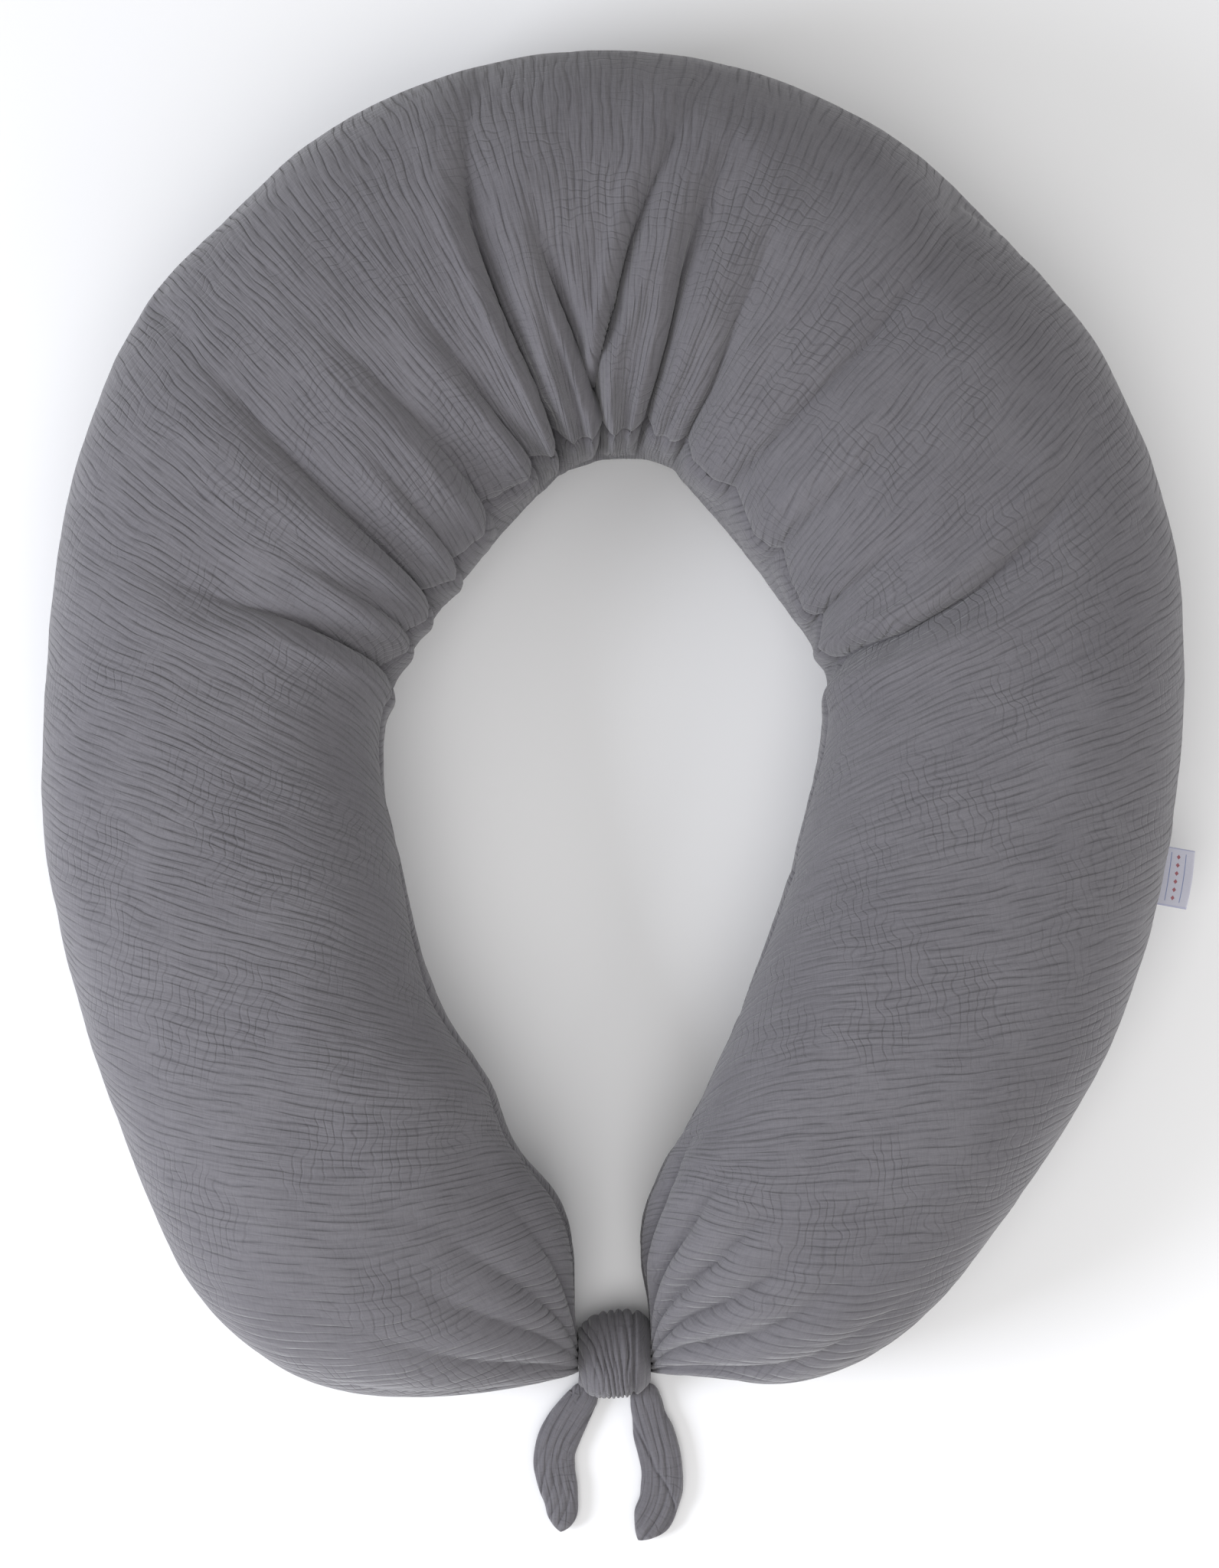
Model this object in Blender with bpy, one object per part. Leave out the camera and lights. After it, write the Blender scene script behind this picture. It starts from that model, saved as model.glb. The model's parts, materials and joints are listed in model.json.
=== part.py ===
"""Nursing pillow: a stuffed crescent in a zipped muslin cover, bent into a ring and tied at its ends.

Metres, +Z up. The pillow lies flat on z = 0, with its crown towards +Y and its knot towards -Y.
The origin is under the middle of its outline.
"""

import math

import bmesh
import bpy
import numpy as np
from mathutils import Matrix, Vector

MM = 0.001

# Overall sizes.
RING_RADIUS = 0.3135  # outer seam round the crown
TUBE_WIDTH = 0.250  # across the tube at the crown, as its outer half has it
PILLOW_HEIGHT = 0.172
WAIST_SHARE = 0.48  # height of the widest level, as a share of the height
ROUNDNESS = 2.3  # exponent of the section: 2 is an ellipse, more is squarer
BASE_PRESS = 1.12  # how far the base would bulge through the floor, which flattens it

# Fabric layers, from the outside in.
COVER_THICKNESS = 1.2 * MM
CASE_THICKNESS = 0.8 * MM
LAYER_GAP = 0.4 * MM
SEAM_GAP = 0.4 * MM
OUTER_SEAM_DROP = 17.5  # degrees below the widest level

# Ends of the inner case.
CASE_END = 0.055  # from the knot to the tip of the case, along the arm
CASE_DOME = 0.070  # length of its rounded tip
CASE_TIP_SHARE = 0.12  # width left at the very tip, as a share of the full section

# Knot and tie tails.
KNOT_WIDTH = 0.044
KNOT_LENGTH = 0.055
KNOT_HEIGHT = 0.038
KNOT_END_SHARE = 0.74  # length and height of the knot at its two ends, over those in its middle
KNOT_GAP = 0.5 * MM
NECK_WIDTH = 0.024
NECK_HEIGHT = 0.022
TAIL_SPREAD = 0.038  # between the roots of the two tails
TAIL_INSET = 1.0 * MM  # from the edge of the knot to the tails' swing axes
TAIL_ROOT_WIDTH = 0.018
TAIL_WIDTH = 0.026
TAIL_THICKNESS = 0.009
TAIL_FLOOR_GAP = 0.6 * MM
LEFT_TAIL_LENGTH = 0.082
RIGHT_TAIL_LENGTH = 0.087

# Side label: a ribbon folded into a loop.
LABEL_WIDTH = 0.037
LABEL_REACH = 0.026
LABEL_SHARE = 0.783  # place along the pillow, from the left end of the spine to the right end
RIBBON_THICKNESS = 0.4 * MM
RIBBON_LOOP = 1.2 * MM  # between the middles of its two layers
RIBBON_ROOT = 0.6 * MM  # the same where both layers are sewn into the seam
LABEL_STANDOFF = 0.8 * MM  # fold line in front of the seam

# Zip, in the outer seam round the crown.
ZIP_LENGTH = 0.420
COIL_WIDTH = 2.2 * MM
COIL_DEPTH = 1.6 * MM
COIL_SINK = 1.4 * MM  # the coil's back, below the cover's face
POST_WIDTH = 0.8 * MM
SLIDER_PLAY = 0.5 * MM
TAPE_WIDTH = 13.0 * MM
TAPE_THICKNESS = 0.6 * MM
TAPE_GAP = 0.5 * MM
STOP_LENGTH = 2.4 * MM
STOP_GAP = 0.4 * MM
SLIDER_LENGTH = 11.0 * MM
SLIDER_PLATE = 1.2 * MM
SLIDER_BACK = 1.0 * MM
SLIDER_FLANGE = 0.9 * MM
BRIDGE_LENGTH = 6.4 * MM
BRIDGE_WIDTH = 2.0 * MM
BRIDGE_BAR = 0.8 * MM
POST_START = 0.9  # ends of the post, ahead of the slider's middle, over half its length
POST_END = 0.4
PULL_LENGTH = 24.0 * MM
PULL_WIDTH = 6.4 * MM
PULL_THICKNESS = 1.0 * MM
PULL_PLAY = 0.4 * MM
PULL_EYE_LENGTH = 5.0 * MM
PULL_BEVEL = 0.3 * MM

# Fineness of the meshes.
CROWN_STEPS = 5  # sections between two crown stations
NECK_SECTIONS = 2
PANEL_STEPS = 10
CASE_STRIDE = 2  # the case and the filling use every second point of the cover's sections
DOME_SHARES = (0.0, 0.08, 0.3, 0.6)  # sections round each tip of the case, over the dome's length
COIL_STEP = math.radians(2.5)
COIL_SIDES = 8
KNOT_SECTIONS = 9
KNOT_SIDES = 20
TAIL_SECTIONS = 13
TAIL_SIDES = 12
POCKET_SIDES = 32
SEAM_SEARCH = 0.8  # how far a turn is looked for on each side of a seam
SEAM_SAMPLES = 161

CROWN_CENTRE = Vector((-0.0375, 0.474, 0.0)) * RING_RADIUS
CROWN_HALF = TUBE_WIDTH / 2
SPINE_RADIUS = RING_RADIUS - CROWN_HALF
KNOT_CENTRE = CROWN_CENTRE + Vector((0.019, -1.582, 0.0)) * RING_RADIUS

# Crown stations: outward direction in degrees from +Y towards +X, inner half width over the outer one.
CROWN_STATIONS = [(-50, 1.084), (-25, 1.084), (0, 1.056), (25, 1.008), (50, 0.984)]
CROWN_STEP_ANGLE = math.radians(CROWN_STATIONS[1][0] - CROWN_STATIONS[0][0]) / CROWN_STEPS
CROWN_SEAM_RISE = 18  # degrees of the inner seam above the widest level

# Arm stations, from the crown to the knot: the centre from the crown's centre, in ring radii; the outward
# direction; half width over the crown's; height over the pillow's; rise of the inner seam; sections.
RIGHT_ARM = [
    (0.657, 0.144, 55.5, 1.000, 1.00, 16, 2),
    (0.779, -0.182, 79.0, 0.905, 0.97, 10, 2),
    (0.760, -0.514, 97.0, 0.880, 0.96, 5, 2),
    (0.669, -0.839, 111.0, 0.875, 0.95, 5, 2),
    (0.490, -1.177, 124.0, 0.785, 0.92, 5, 2),
    (0.362, -1.355, 131.0, 0.715, 0.86, 5, 2),
    (0.214, -1.451, 150.0, 0.545, 0.70, 5, 2),
    (0.118, -1.515, 160.0, 0.285, 0.38, 5, 2),
]
LEFT_ARM = [
    (-0.574, 0.227, -53.5, 1.050, 1.00, 16, 2),
    (-0.718, -0.083, -74.0, 0.930, 0.98, 10, 2),
    (-0.766, -0.405, -88.0, 0.835, 0.96, 5, 2),
    (-0.724, -0.737, -102.0, 0.845, 0.95, 5, 2),
    (-0.596, -1.101, -117.0, 0.835, 0.93, 12, 2),
    (-0.478, -1.297, -130.0, 0.860, 0.90, 12, 2),
    (-0.279, -1.447, -150.0, 0.650, 0.72, 12, 2),
    (-0.095, -1.525, -165.0, 0.300, 0.38, 5, 2),
]

# Tails: share of the length from the root, shift to the right in lengths, half width over the widest.
LEFT_TAIL = [
    (0.00, 0.00, 0.69),
    (0.15, -0.10, 0.90),
    (0.45, -0.22, 1.00),
    (0.75, -0.17, 0.78),
    (1.00, -0.18, 0.15),
]
RIGHT_TAIL = [
    (0.00, 0.00, 0.69),
    (0.15, 0.03, 0.85),
    (0.40, 0.10, 0.95),
    (0.72, 0.10, 0.92),
    (1.00, -0.09, 0.15),
]
TAIL_ROOT_ANGLES = (12, 35, 60)  # degrees, of the sections round the root
TAIL_TIP_THICKNESS = 0.45  # over the thickness of the rest


def clear_scene():
    for obj in list(bpy.data.objects):
        bpy.data.objects.remove(obj, do_unlink=True)


def material(name, colour, roughness, metallic=0.0):
    made = bpy.data.materials.new(name)
    made.use_nodes = True
    shader = made.node_tree.nodes["Principled BSDF"]
    shader.inputs["Base Color"].default_value = (*colour, 1.0)
    shader.inputs["Roughness"].default_value = roughness
    shader.inputs["Metallic"].default_value = metallic
    return made


def add_object(name, mesh, finish, smooth_angle=40):
    """An object of this mesh with its finish, shaded smooth but for its sharp edges."""
    mesh.shade_smooth()
    mesh.set_sharp_from_angle(angle=math.radians(smooth_angle))
    mesh.materials.append(finish)
    obj = bpy.data.objects.new(name, mesh)
    bpy.context.scene.collection.objects.link(obj)
    return obj


def mesh_of(name, points, faces):
    mesh = bpy.data.meshes.new(name)
    mesh.from_pydata([tuple(p) for p in points], [], faces)
    builder = bmesh.new()
    builder.from_mesh(mesh)
    bmesh.ops.recalc_face_normals(builder, faces=builder.faces)
    builder.to_mesh(mesh)
    builder.free()
    return mesh


def split_quads(quads):
    """Triangles with the same diagonal everywhere, so that layers of fabric stay parallel."""
    return [corners for a, b, c, d in quads for corners in ((a, b, c), (a, c, d))]


def sheet_faces(rows, columns):
    return split_quads(
        (r * columns + c, (r + 1) * columns + c, (r + 1) * columns + c + 1, r * columns + c + 1)
        for r in range(rows - 1)
        for c in range(columns - 1)
    )


def sheet_mesh(name, grid):
    """An open sheet through a grid of points."""
    return mesh_of(name, grid.reshape(-1, 3), sheet_faces(*grid.shape[:2]))


def shell_mesh(name, face, back):
    """A closed shell between two grids of points, with a rim along its four edges."""
    rows, columns = face.shape[:2]
    count = rows * columns
    front = sheet_faces(rows, columns)
    rear = [tuple(count + i for i in reversed(f)) for f in front]
    edge = list(range(columns))
    edge += [r * columns + columns - 1 for r in range(1, rows)]
    edge += [(rows - 1) * columns + c for c in range(columns - 2, -1, -1)]
    edge += [r * columns for r in range(rows - 2, 0, -1)]
    rim = [(a, b, count + b, count + a) for a, b in zip(edge, edge[1:] + edge[:1])]
    points = np.concatenate([face.reshape(-1, 3), back.reshape(-1, 3)])
    return mesh_of(name, points, front + rear + rim)


def loft_mesh(name, rings):
    """A solid through closed rings of points, with a flat face on each end."""
    rings = np.asarray(rings)
    count, around = rings.shape[:2]
    quads = []
    for start in range(0, (count - 1) * around, around):
        for c in range(around):
            after = (c + 1) % around
            quads.append((start + c, start + around + c, start + around + after, start + after))
    faces = split_quads(quads)
    faces.append(tuple(range(around)))
    faces.append(tuple((count - 1) * around + c for c in range(around)))
    return mesh_of(name, rings.reshape(-1, 3), faces)


def add_modifier(obj, kind, **settings):
    modifier = obj.modifiers.new(kind.title(), kind)
    for key, value in settings.items():
        setattr(modifier, key, value)
    return modifier


def cut_with(obj, cutter, operation="DIFFERENCE"):
    """A Boolean with another object, which stays in the file as a hidden helper."""
    cutter.hide_render = True
    cutter.display_type = "WIRE"
    cutter.parent = obj.parent
    add_modifier(obj, "BOOLEAN", object=cutter, operation=operation, solver="EXACT")


def block(name, low, high, finish):
    """A box between two corners."""
    low, high = Vector(low), Vector(high)
    place = Matrix.Translation((low + high) / 2) @ Matrix.Diagonal((*(high - low), 1.0))
    builder = bmesh.new()
    bmesh.ops.create_cube(builder, size=1.0, matrix=place)
    mesh = bpy.data.meshes.new(name)
    builder.to_mesh(mesh)
    builder.free()
    return add_object(name, mesh, finish)


def smooth_curve(knots, values):
    """A function of the knots' coordinate: the natural cubic spline through the values."""
    gaps = np.diff(knots)
    slopes = np.diff(values, axis=0) / gaps[:, None]
    system = np.eye(len(knots))
    right = np.zeros_like(values)
    for i in range(1, len(knots) - 1):
        system[i, i - 1 : i + 2] = gaps[i - 1], 2 * (gaps[i - 1] + gaps[i]), gaps[i]
        right[i] = 6 * (slopes[i] - slopes[i - 1])
    bends = np.linalg.solve(system, right)

    def at(place):
        i = int(np.clip(np.searchsorted(knots, place) - 1, 0, len(gaps) - 1))
        b = (place - knots[i]) / gaps[i]
        a = 1 - b
        bent = (a**3 - a) * bends[i] + (b**3 - b) * bends[i + 1]
        return a * values[i] + b * values[i + 1] + bent * gaps[i] ** 2 / 6

    return at


class Spine:
    """The line through the middle of the tube, from the left neck over the crown to the right neck."""

    def __init__(self):
        left = [self.arm_row(*station[:6]) for station in reversed(LEFT_ARM)]
        crown = [self.crown_row(*station) for station in CROWN_STATIONS]
        right = [self.arm_row(*station[:6]) for station in RIGHT_ARM]
        rows = np.array([self.neck_row(-1), *left, *crown, *right, self.neck_row(1)])
        steps = np.linalg.norm(np.diff(rows[:, :2], axis=0), axis=1)
        self.knots = np.concatenate([[0.0], np.cumsum(steps)])
        self.length = self.knots[-1]
        self.curve = smooth_curve(self.knots, rows)
        left_counts = [station[6] for station in reversed(LEFT_ARM)]
        right_counts = [station[6] for station in RIGHT_ARM]
        crown_counts = [CROWN_STEPS] * (len(CROWN_STATIONS) - 1)
        counts = [NECK_SECTIONS, *left_counts, *crown_counts, *right_counts, NECK_SECTIONS]
        self.places = [0.0]
        for start, end, count in zip(self.knots[:-1], self.knots[1:], counts):
            self.places += [start + (end - start) * (i + 1) / count for i in range(count)]

    @staticmethod
    def arm_row(x, y, outward, width, height, rise):
        centre = CROWN_CENTRE + Vector((x, y, 0)) * RING_RADIUS
        half = width * CROWN_HALF
        return centre.x, centre.y, math.radians(outward), half, half, height * PILLOW_HEIGHT, rise

    @staticmethod
    def crown_row(outward, inner_share):
        angle = math.radians(outward)
        centre = CROWN_CENTRE + Vector((math.sin(angle), math.cos(angle), 0)) * SPINE_RADIUS
        inner = inner_share * CROWN_HALF
        return centre.x, centre.y, angle, inner, CROWN_HALF, PILLOW_HEIGHT, CROWN_SEAM_RISE

    @staticmethod
    def neck_row(side):
        x = KNOT_CENTRE.x + side * (KNOT_WIDTH / 2 + KNOT_GAP)
        return x, KNOT_CENTRE.y, side * math.pi, NECK_WIDTH / 2, NECK_WIDTH / 2, NECK_HEIGHT, 5

    def crown_ends(self):
        first = len(LEFT_ARM) + 1
        return self.knots[first], self.knots[first + len(CROWN_STATIONS) - 1]

    def row(self, place):
        """Centre x and y, outward angle, inner and outer half width, height and rise of the inner seam."""
        row = self.curve(place)
        low, high = self.crown_ends()
        if not low <= place <= high:
            return row
        start, end = CROWN_STATIONS[0][0], CROWN_STATIONS[-1][0]
        outward = start + (end - start) * (place - low) / (high - low)
        return self.crown_row(outward, row[3] / CROWN_HALF)

    def outward_angle(self, place):
        return self.row(place)[2]

    def place_of_angle(self, angle):
        """The place on the crown whose section looks outward in this direction."""
        low, high = self.crown_ends()
        start, end = (math.radians(CROWN_STATIONS[i][0]) for i in (0, -1))
        return low + (high - low) * (angle - start) / (end - start)


SPINE = Spine()


def power(value, exponent):
    return math.copysign(abs(value) ** exponent, value)


def section_point(half_in, half_out, height, turn):
    """The skin in a section: across from the spine and up from the floor. Turn 0 looks outward."""
    across = power(math.cos(turn), 2 / ROUNDNESS) * (half_out if math.cos(turn) > 0 else half_in)
    rise = power(math.sin(turn), 2 / ROUNDNESS)
    waist = WAIST_SHARE * height
    if rise >= 0:
        return np.array([across, waist + (height - waist) * rise])
    return np.array([across, waist * (1 + max(-1.0, BASE_PRESS * rise))])


def section_at(place, turn, depth=0.0):
    """The point this deep under the skin, and the outward normal, both in the section's plane."""
    _, _, _, half_in, half_out, height, _ = SPINE.row(place)
    nudge = 1e-3
    after = section_point(half_in, half_out, height, turn + nudge)
    before = section_point(half_in, half_out, height, turn - nudge)
    along = (after - before) / np.linalg.norm(after - before)
    normal = np.array([along[1], -along[0]])
    return section_point(half_in, half_out, height, turn) - depth * normal, normal


def in_space(place, across, up):
    """The world point of a section's own coordinates."""
    x, y, angle = SPINE.row(place)[:3]
    return np.array([x + across * math.sin(angle), y + across * math.cos(angle), up])


OUTER_SEAM = -math.radians(OUTER_SEAM_DROP)


def inner_seam(place):
    return math.pi - math.radians(SPINE.row(place)[6])


def turn_beside(place, seam, reach):
    """The turn this far along the skin from a seam: positive is up the outer side, down the inner side."""
    turns = seam + np.linspace(-SEAM_SEARCH, SEAM_SEARCH, SEAM_SAMPLES)
    points = np.array([section_at(place, turn)[0] for turn in turns])
    lengths = np.concatenate([[0.0], np.cumsum(np.linalg.norm(np.diff(points, axis=0), axis=1))])
    return float(np.interp(lengths[SEAM_SAMPLES // 2] + reach, lengths, turns))


# The zip's own sizes across the seam and under the cover's face.
COIL_NEAR = POST_WIDTH / 2 + SLIDER_PLAY
COIL_FAR = COIL_NEAR + COIL_WIDTH
SLIDER_HALF = COIL_FAR + SLIDER_PLAY + SLIDER_FLANGE
WINDOW_HALF = SLIDER_HALF + SLIDER_PLAY
TAPE_FACE = COVER_THICKNESS + TAPE_GAP
TAPE_BACK = TAPE_FACE + TAPE_THICKNESS
FACET_SAG = RING_RADIUS * (1 - math.cos(CROWN_STEP_ANGLE / 2))
SLIDER_BACK_FACE = TAPE_BACK + SLIDER_PLAY + FACET_SAG
ZIP_ROOM = SLIDER_BACK_FACE + SLIDER_BACK + SLIDER_PLAY - COVER_THICKNESS - LAYER_GAP
ZIP_ROOM_REACH = 0.040  # along the skin, beyond which the case lies against the cover again
ZIP_HALF_ANGLE = ZIP_LENGTH / 2 / RING_RADIUS
ZIP_REACH_ANGLE = ZIP_HALF_ANGLE + (STOP_GAP + STOP_LENGTH) / RING_RADIUS


def beside_zip(place):
    """Whether this section is one of those that the open window of the zip needs."""
    return abs(SPINE.outward_angle(place)) < ZIP_REACH_ANGLE + CROWN_STEP_ANGLE


def zip_room(place, turn):
    """How much deeper the case lies behind the zip, to leave the slider room."""
    if not beside_zip(place):
        return 0.0
    across = section_at(place, turn)[0] - section_at(place, OUTER_SEAM)[0]
    return ZIP_ROOM * max(0.0, 1 - np.linalg.norm(across) / ZIP_ROOM_REACH)


def panel_turns(place, top, hem):
    """Turns across a panel at a section: the top one from its outer edge, the other from its inner edge."""
    outer, inner = OUTER_SEAM, inner_seam(place)
    if top:
        ends = turn_beside(place, outer, hem), turn_beside(place, inner, -SEAM_GAP / 2)
    else:
        ends = turn_beside(place, inner, SEAM_GAP / 2), turn_beside(place, outer, -hem) + 2 * math.pi
    return np.linspace(*ends, PANEL_STEPS + 1)


def cover_hem(place):
    """From the outer seam to the edge of the cover's panel."""
    return WINDOW_HALF if beside_zip(place) else SEAM_GAP / 2


def case_turns(place, top):
    """The cover's turns, fewer, and closed behind the zip's window."""
    turns = panel_turns(place, top, cover_hem(place))[::CASE_STRIDE]
    if top:
        turns[0] = turn_beside(place, OUTER_SEAM, SEAM_GAP / 2)
    else:
        turns[-1] = turn_beside(place, OUTER_SEAM, -SEAM_GAP / 2) + 2 * math.pi
    return turns


def cover_panel(name, top, finish):
    """One crescent of the cover. Its outer edge leaves the zip's window open round the crown."""
    faces = []
    for depth in (0.0, COVER_THICKNESS):
        grid = []
        for place in SPINE.places:
            turns = panel_turns(place, top, cover_hem(place))
            grid.append([in_space(place, *section_at(place, turn, depth)[0]) for turn in turns])
        faces.append(np.array(grid))
    return add_object(name, shell_mesh(name, *faces), finish)


def end_taper(place):
    """How much the case has narrowed at this place, towards its domed tips."""
    inside = min(place, SPINE.length - place) - CASE_END
    share = min(max(inside / CASE_DOME, 0.0), 1.0)
    return max(CASE_TIP_SHARE, math.sqrt(1 - (1 - share) ** 2))


def case_places():
    """Sections of the case: the cover's own along the tube, and closer ones round each domed tip."""
    dome = [CASE_END + CASE_DOME * share for share in DOME_SHARES]
    tube = [p for p in SPINE.places if CASE_END + CASE_DOME < p < SPINE.length - CASE_END - CASE_DOME]
    return dome + tube + [SPINE.length - p for p in reversed(dome)]


def tapered_point(place, turn, depth):
    """The point this deep under the cover's face, in a section that is drawn in towards the tips."""
    (across, up), normal = section_at(place, turn)
    waist = WAIST_SHARE * SPINE.row(place)[5]
    taper = end_taper(place)
    inset = (depth + zip_room(place, turn)) * normal
    return in_space(place, across * taper - inset[0], waist + (up - waist) * taper - inset[1])


CASE_DEPTH = COVER_THICKNESS + LAYER_GAP
FILLING_DEPTH = CASE_DEPTH + CASE_THICKNESS + LAYER_GAP


def case_panel(name, top, finish):
    """One half of the inner pillow's case, which follows the cover from inside."""
    faces = []
    for depth in (CASE_DEPTH, CASE_DEPTH + CASE_THICKNESS):
        grid = []
        for place in case_places():
            turns = case_turns(place, top)
            grid.append([tapered_point(place, turn, depth) for turn in turns])
        faces.append(np.array(grid))
    return add_object(name, shell_mesh(name, *faces), finish)


def filling(name, finish):
    """The fibre that fills the case."""
    rings = []
    for place in case_places()[1:-1]:
        turns = np.concatenate([case_turns(place, top)[:-1] for top in (True, False)])
        rings.append([tapered_point(place, turn, FILLING_DEPTH) for turn in turns])
    return add_object(name, loft_mesh(name, rings), finish)


def round_crown(angle, reach, up):
    """A point of the crown's own turned shape: out from the spine and up from the floor, at an angle."""
    radius = SPINE_RADIUS + reach
    x, y, _ = CROWN_CENTRE
    return np.array([x + radius * math.sin(angle), y + radius * math.cos(angle), up])


def crown_skin(across, depth):
    """Reach and height of the crown's skin this far up from the outer seam and this deep."""
    place = SPINE.place_of_angle(0.0)
    return section_at(place, turn_beside(place, OUTER_SEAM, across), depth)[0]


def tape_line(side, depth):
    """Across the tape, from the coil to behind the cover, whose first facet it lies against."""
    place = SPINE.place_of_angle(0.0)
    turns = panel_turns(place, side > 0, WINDOW_HALF)
    hem_turn, next_turn = (turns[0], turns[1]) if side > 0 else (turns[-1], turns[-2])
    hem, beyond = (section_at(place, turn, depth)[0] for turn in (hem_turn, next_turn))
    share = (TAPE_WIDTH - WINDOW_HALF + COIL_NEAR) / np.linalg.norm(beyond - hem)
    return [crown_skin(side * COIL_NEAR, depth), hem, hem + share * (beyond - hem)]


def zip_tape(name, side, finish):
    """The woven tape behind one edge of the window, with the same facets as the cover in front of it."""
    angles = [SPINE.outward_angle(place) for place in SPINE.places if beside_zip(place)]
    outline = tape_line(side, TAPE_FACE) + tape_line(side, TAPE_BACK)[::-1]
    rings = [[round_crown(angle, *corner) for corner in outline] for angle in angles]
    return add_object(name, loft_mesh(name, rings), finish)


def zip_coil(name, side, finish):
    """One row of the closed coil, as a rounded bead."""
    across, depth = side * (COIL_NEAR + COIL_FAR) / 2, COIL_SINK - COIL_DEPTH / 2
    outline = [
        (across + COIL_WIDTH / 2 * math.cos(a), depth + COIL_DEPTH / 2 * math.sin(a))
        for a in np.arange(COIL_SIDES) * 2 * math.pi / COIL_SIDES
    ]
    count = math.ceil(2 * ZIP_HALF_ANGLE / COIL_STEP)
    angles = np.linspace(-ZIP_HALF_ANGLE, ZIP_HALF_ANGLE, count + 1)
    corners = [crown_skin(*corner) for corner in outline]
    rings = [[round_crown(angle, *corner) for corner in corners] for angle in angles]
    return add_object(name, loft_mesh(name, rings), finish)


def zip_frame(angle):
    """Axes at the seam: x along the zip towards the left arm, y up the cover's face, z out of it."""
    place = SPINE.place_of_angle(0.0)
    point, normal = section_at(place, OUTER_SEAM)
    out = Vector((normal[0] * math.sin(angle), normal[0] * math.cos(angle), normal[1]))
    up = Vector((-normal[1] * math.sin(angle), -normal[1] * math.cos(angle), normal[0]))
    radius = SPINE_RADIUS + point[0]
    origin = CROWN_CENTRE + Vector((radius * math.sin(angle), radius * math.cos(angle), point[1]))
    frame = Matrix((up.cross(out), up, out)).transposed().to_4x4()
    return Matrix.Translation(origin) @ frame


def zip_stop(name, side, finish):
    """The metal stop past one end of both coils."""
    middle = side * (ZIP_HALF_ANGLE + (STOP_GAP + STOP_LENGTH / 2) / RING_RADIUS)
    half = Vector((STOP_LENGTH / 2, COIL_FAR, 0))
    face = COIL_DEPTH - COIL_SINK
    stop = block(name, -half - Vector((0, 0, COIL_SINK)), half + Vector((0, 0, face)), finish)
    stop.matrix_world = zip_frame(middle)
    return stop


# Levels of the slider above the cover's face.
SLIDER_FACE = COIL_DEPTH - COIL_SINK + SLIDER_PLAY
BRIDGE_FOOT = SLIDER_FACE + SLIDER_PLATE
PULL_AXIS_HEIGHT = BRIDGE_FOOT + PULL_PLAY + PULL_THICKNESS / 2
BRIDGE_HOLE = PULL_THICKNESS + 2 * PULL_PLAY
SLIDER_REST_ANGLE = ZIP_HALF_ANGLE - (SLIDER_LENGTH / 2 + SLIDER_PLAY) / RING_RADIUS


def zip_slider(finish):
    """The slider: a front plate with flanges round the coils, a back plate, the post and a bridge."""
    travel = bpy.data.objects.new("zip_travel_axis", None)
    travel.location = CROWN_CENTRE
    bpy.context.scene.collection.objects.link(travel)
    bpy.context.view_layer.update()
    half = SLIDER_LENGTH / 2
    near = COIL_FAR + SLIDER_PLAY
    flange_tip = SLIDER_PLAY - TAPE_FACE
    front = SLIDER_FACE + SLIDER_PLATE / 2
    back = -SLIDER_BACK_FACE
    post, post_start, post_end = POST_WIDTH / 2, -POST_START * half, -POST_END * half
    bridge, bridge_side = BRIDGE_LENGTH / 2, BRIDGE_WIDTH / 2
    hole_top = BRIDGE_FOOT + BRIDGE_HOLE
    hole = bridge - SLIDER_PLATE
    corners = {
        "zip_slider": ((-half, -SLIDER_HALF, SLIDER_FACE), (half, SLIDER_HALF, BRIDGE_FOOT)),
        "slider_upper_flange": ((-half, near, flange_tip), (half, SLIDER_HALF, front)),
        "slider_lower_flange": ((-half, -SLIDER_HALF, flange_tip), (half, -near, front)),
        "slider_back_plate": ((-half, -SLIDER_HALF, back - SLIDER_BACK), (half, SLIDER_HALF, back)),
        "slider_post": ((post_start, -post, back - SLIDER_BACK / 2), (post_end, post, front)),
        "slider_bridge": ((-bridge, -bridge_side, front), (bridge, bridge_side, hole_top + BRIDGE_BAR)),
        "slider_bridge_hole": ((-hole, -SLIDER_HALF, BRIDGE_FOOT), (hole, SLIDER_HALF, hole_top)),
    }
    blocks = {name: block(name, low, high, finish) for name, (low, high) in corners.items()}
    for piece in blocks.values():
        piece.matrix_world = zip_frame(SLIDER_REST_ANGLE)
    body = blocks.pop("zip_slider")
    opening = blocks.pop("slider_bridge_hole")
    for extra in blocks.values():
        cut_with(body, extra, "UNION")
    cut_with(body, opening)
    body.parent = travel
    body.matrix_world = zip_frame(SLIDER_REST_ANGLE)
    return body


def zip_pull(finish):
    """The pull tab. Its origin is on the bar that turns in the slider's bridge."""
    bar = PULL_THICKNESS / 2
    low = (-bar, -PULL_WIDTH / 2, -bar)
    tab = block("zip_pull", low, (PULL_LENGTH, PULL_WIDTH / 2, bar), finish)
    add_modifier(tab, "BEVEL", width=PULL_BEVEL, segments=1)
    eye_half = BRIDGE_WIDTH / 2 + PULL_PLAY
    eye_end = bar + PULL_EYE_LENGTH
    eye = block("pull_eye", (bar, -eye_half, -2 * bar), (eye_end, eye_half, 2 * bar), finish)
    place = zip_frame(SLIDER_REST_ANGLE) @ Matrix.Translation((0, 0, PULL_AXIS_HEIGHT))
    eye.matrix_world = place
    tab.matrix_world = place
    cut_with(tab, eye)
    return tab


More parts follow.
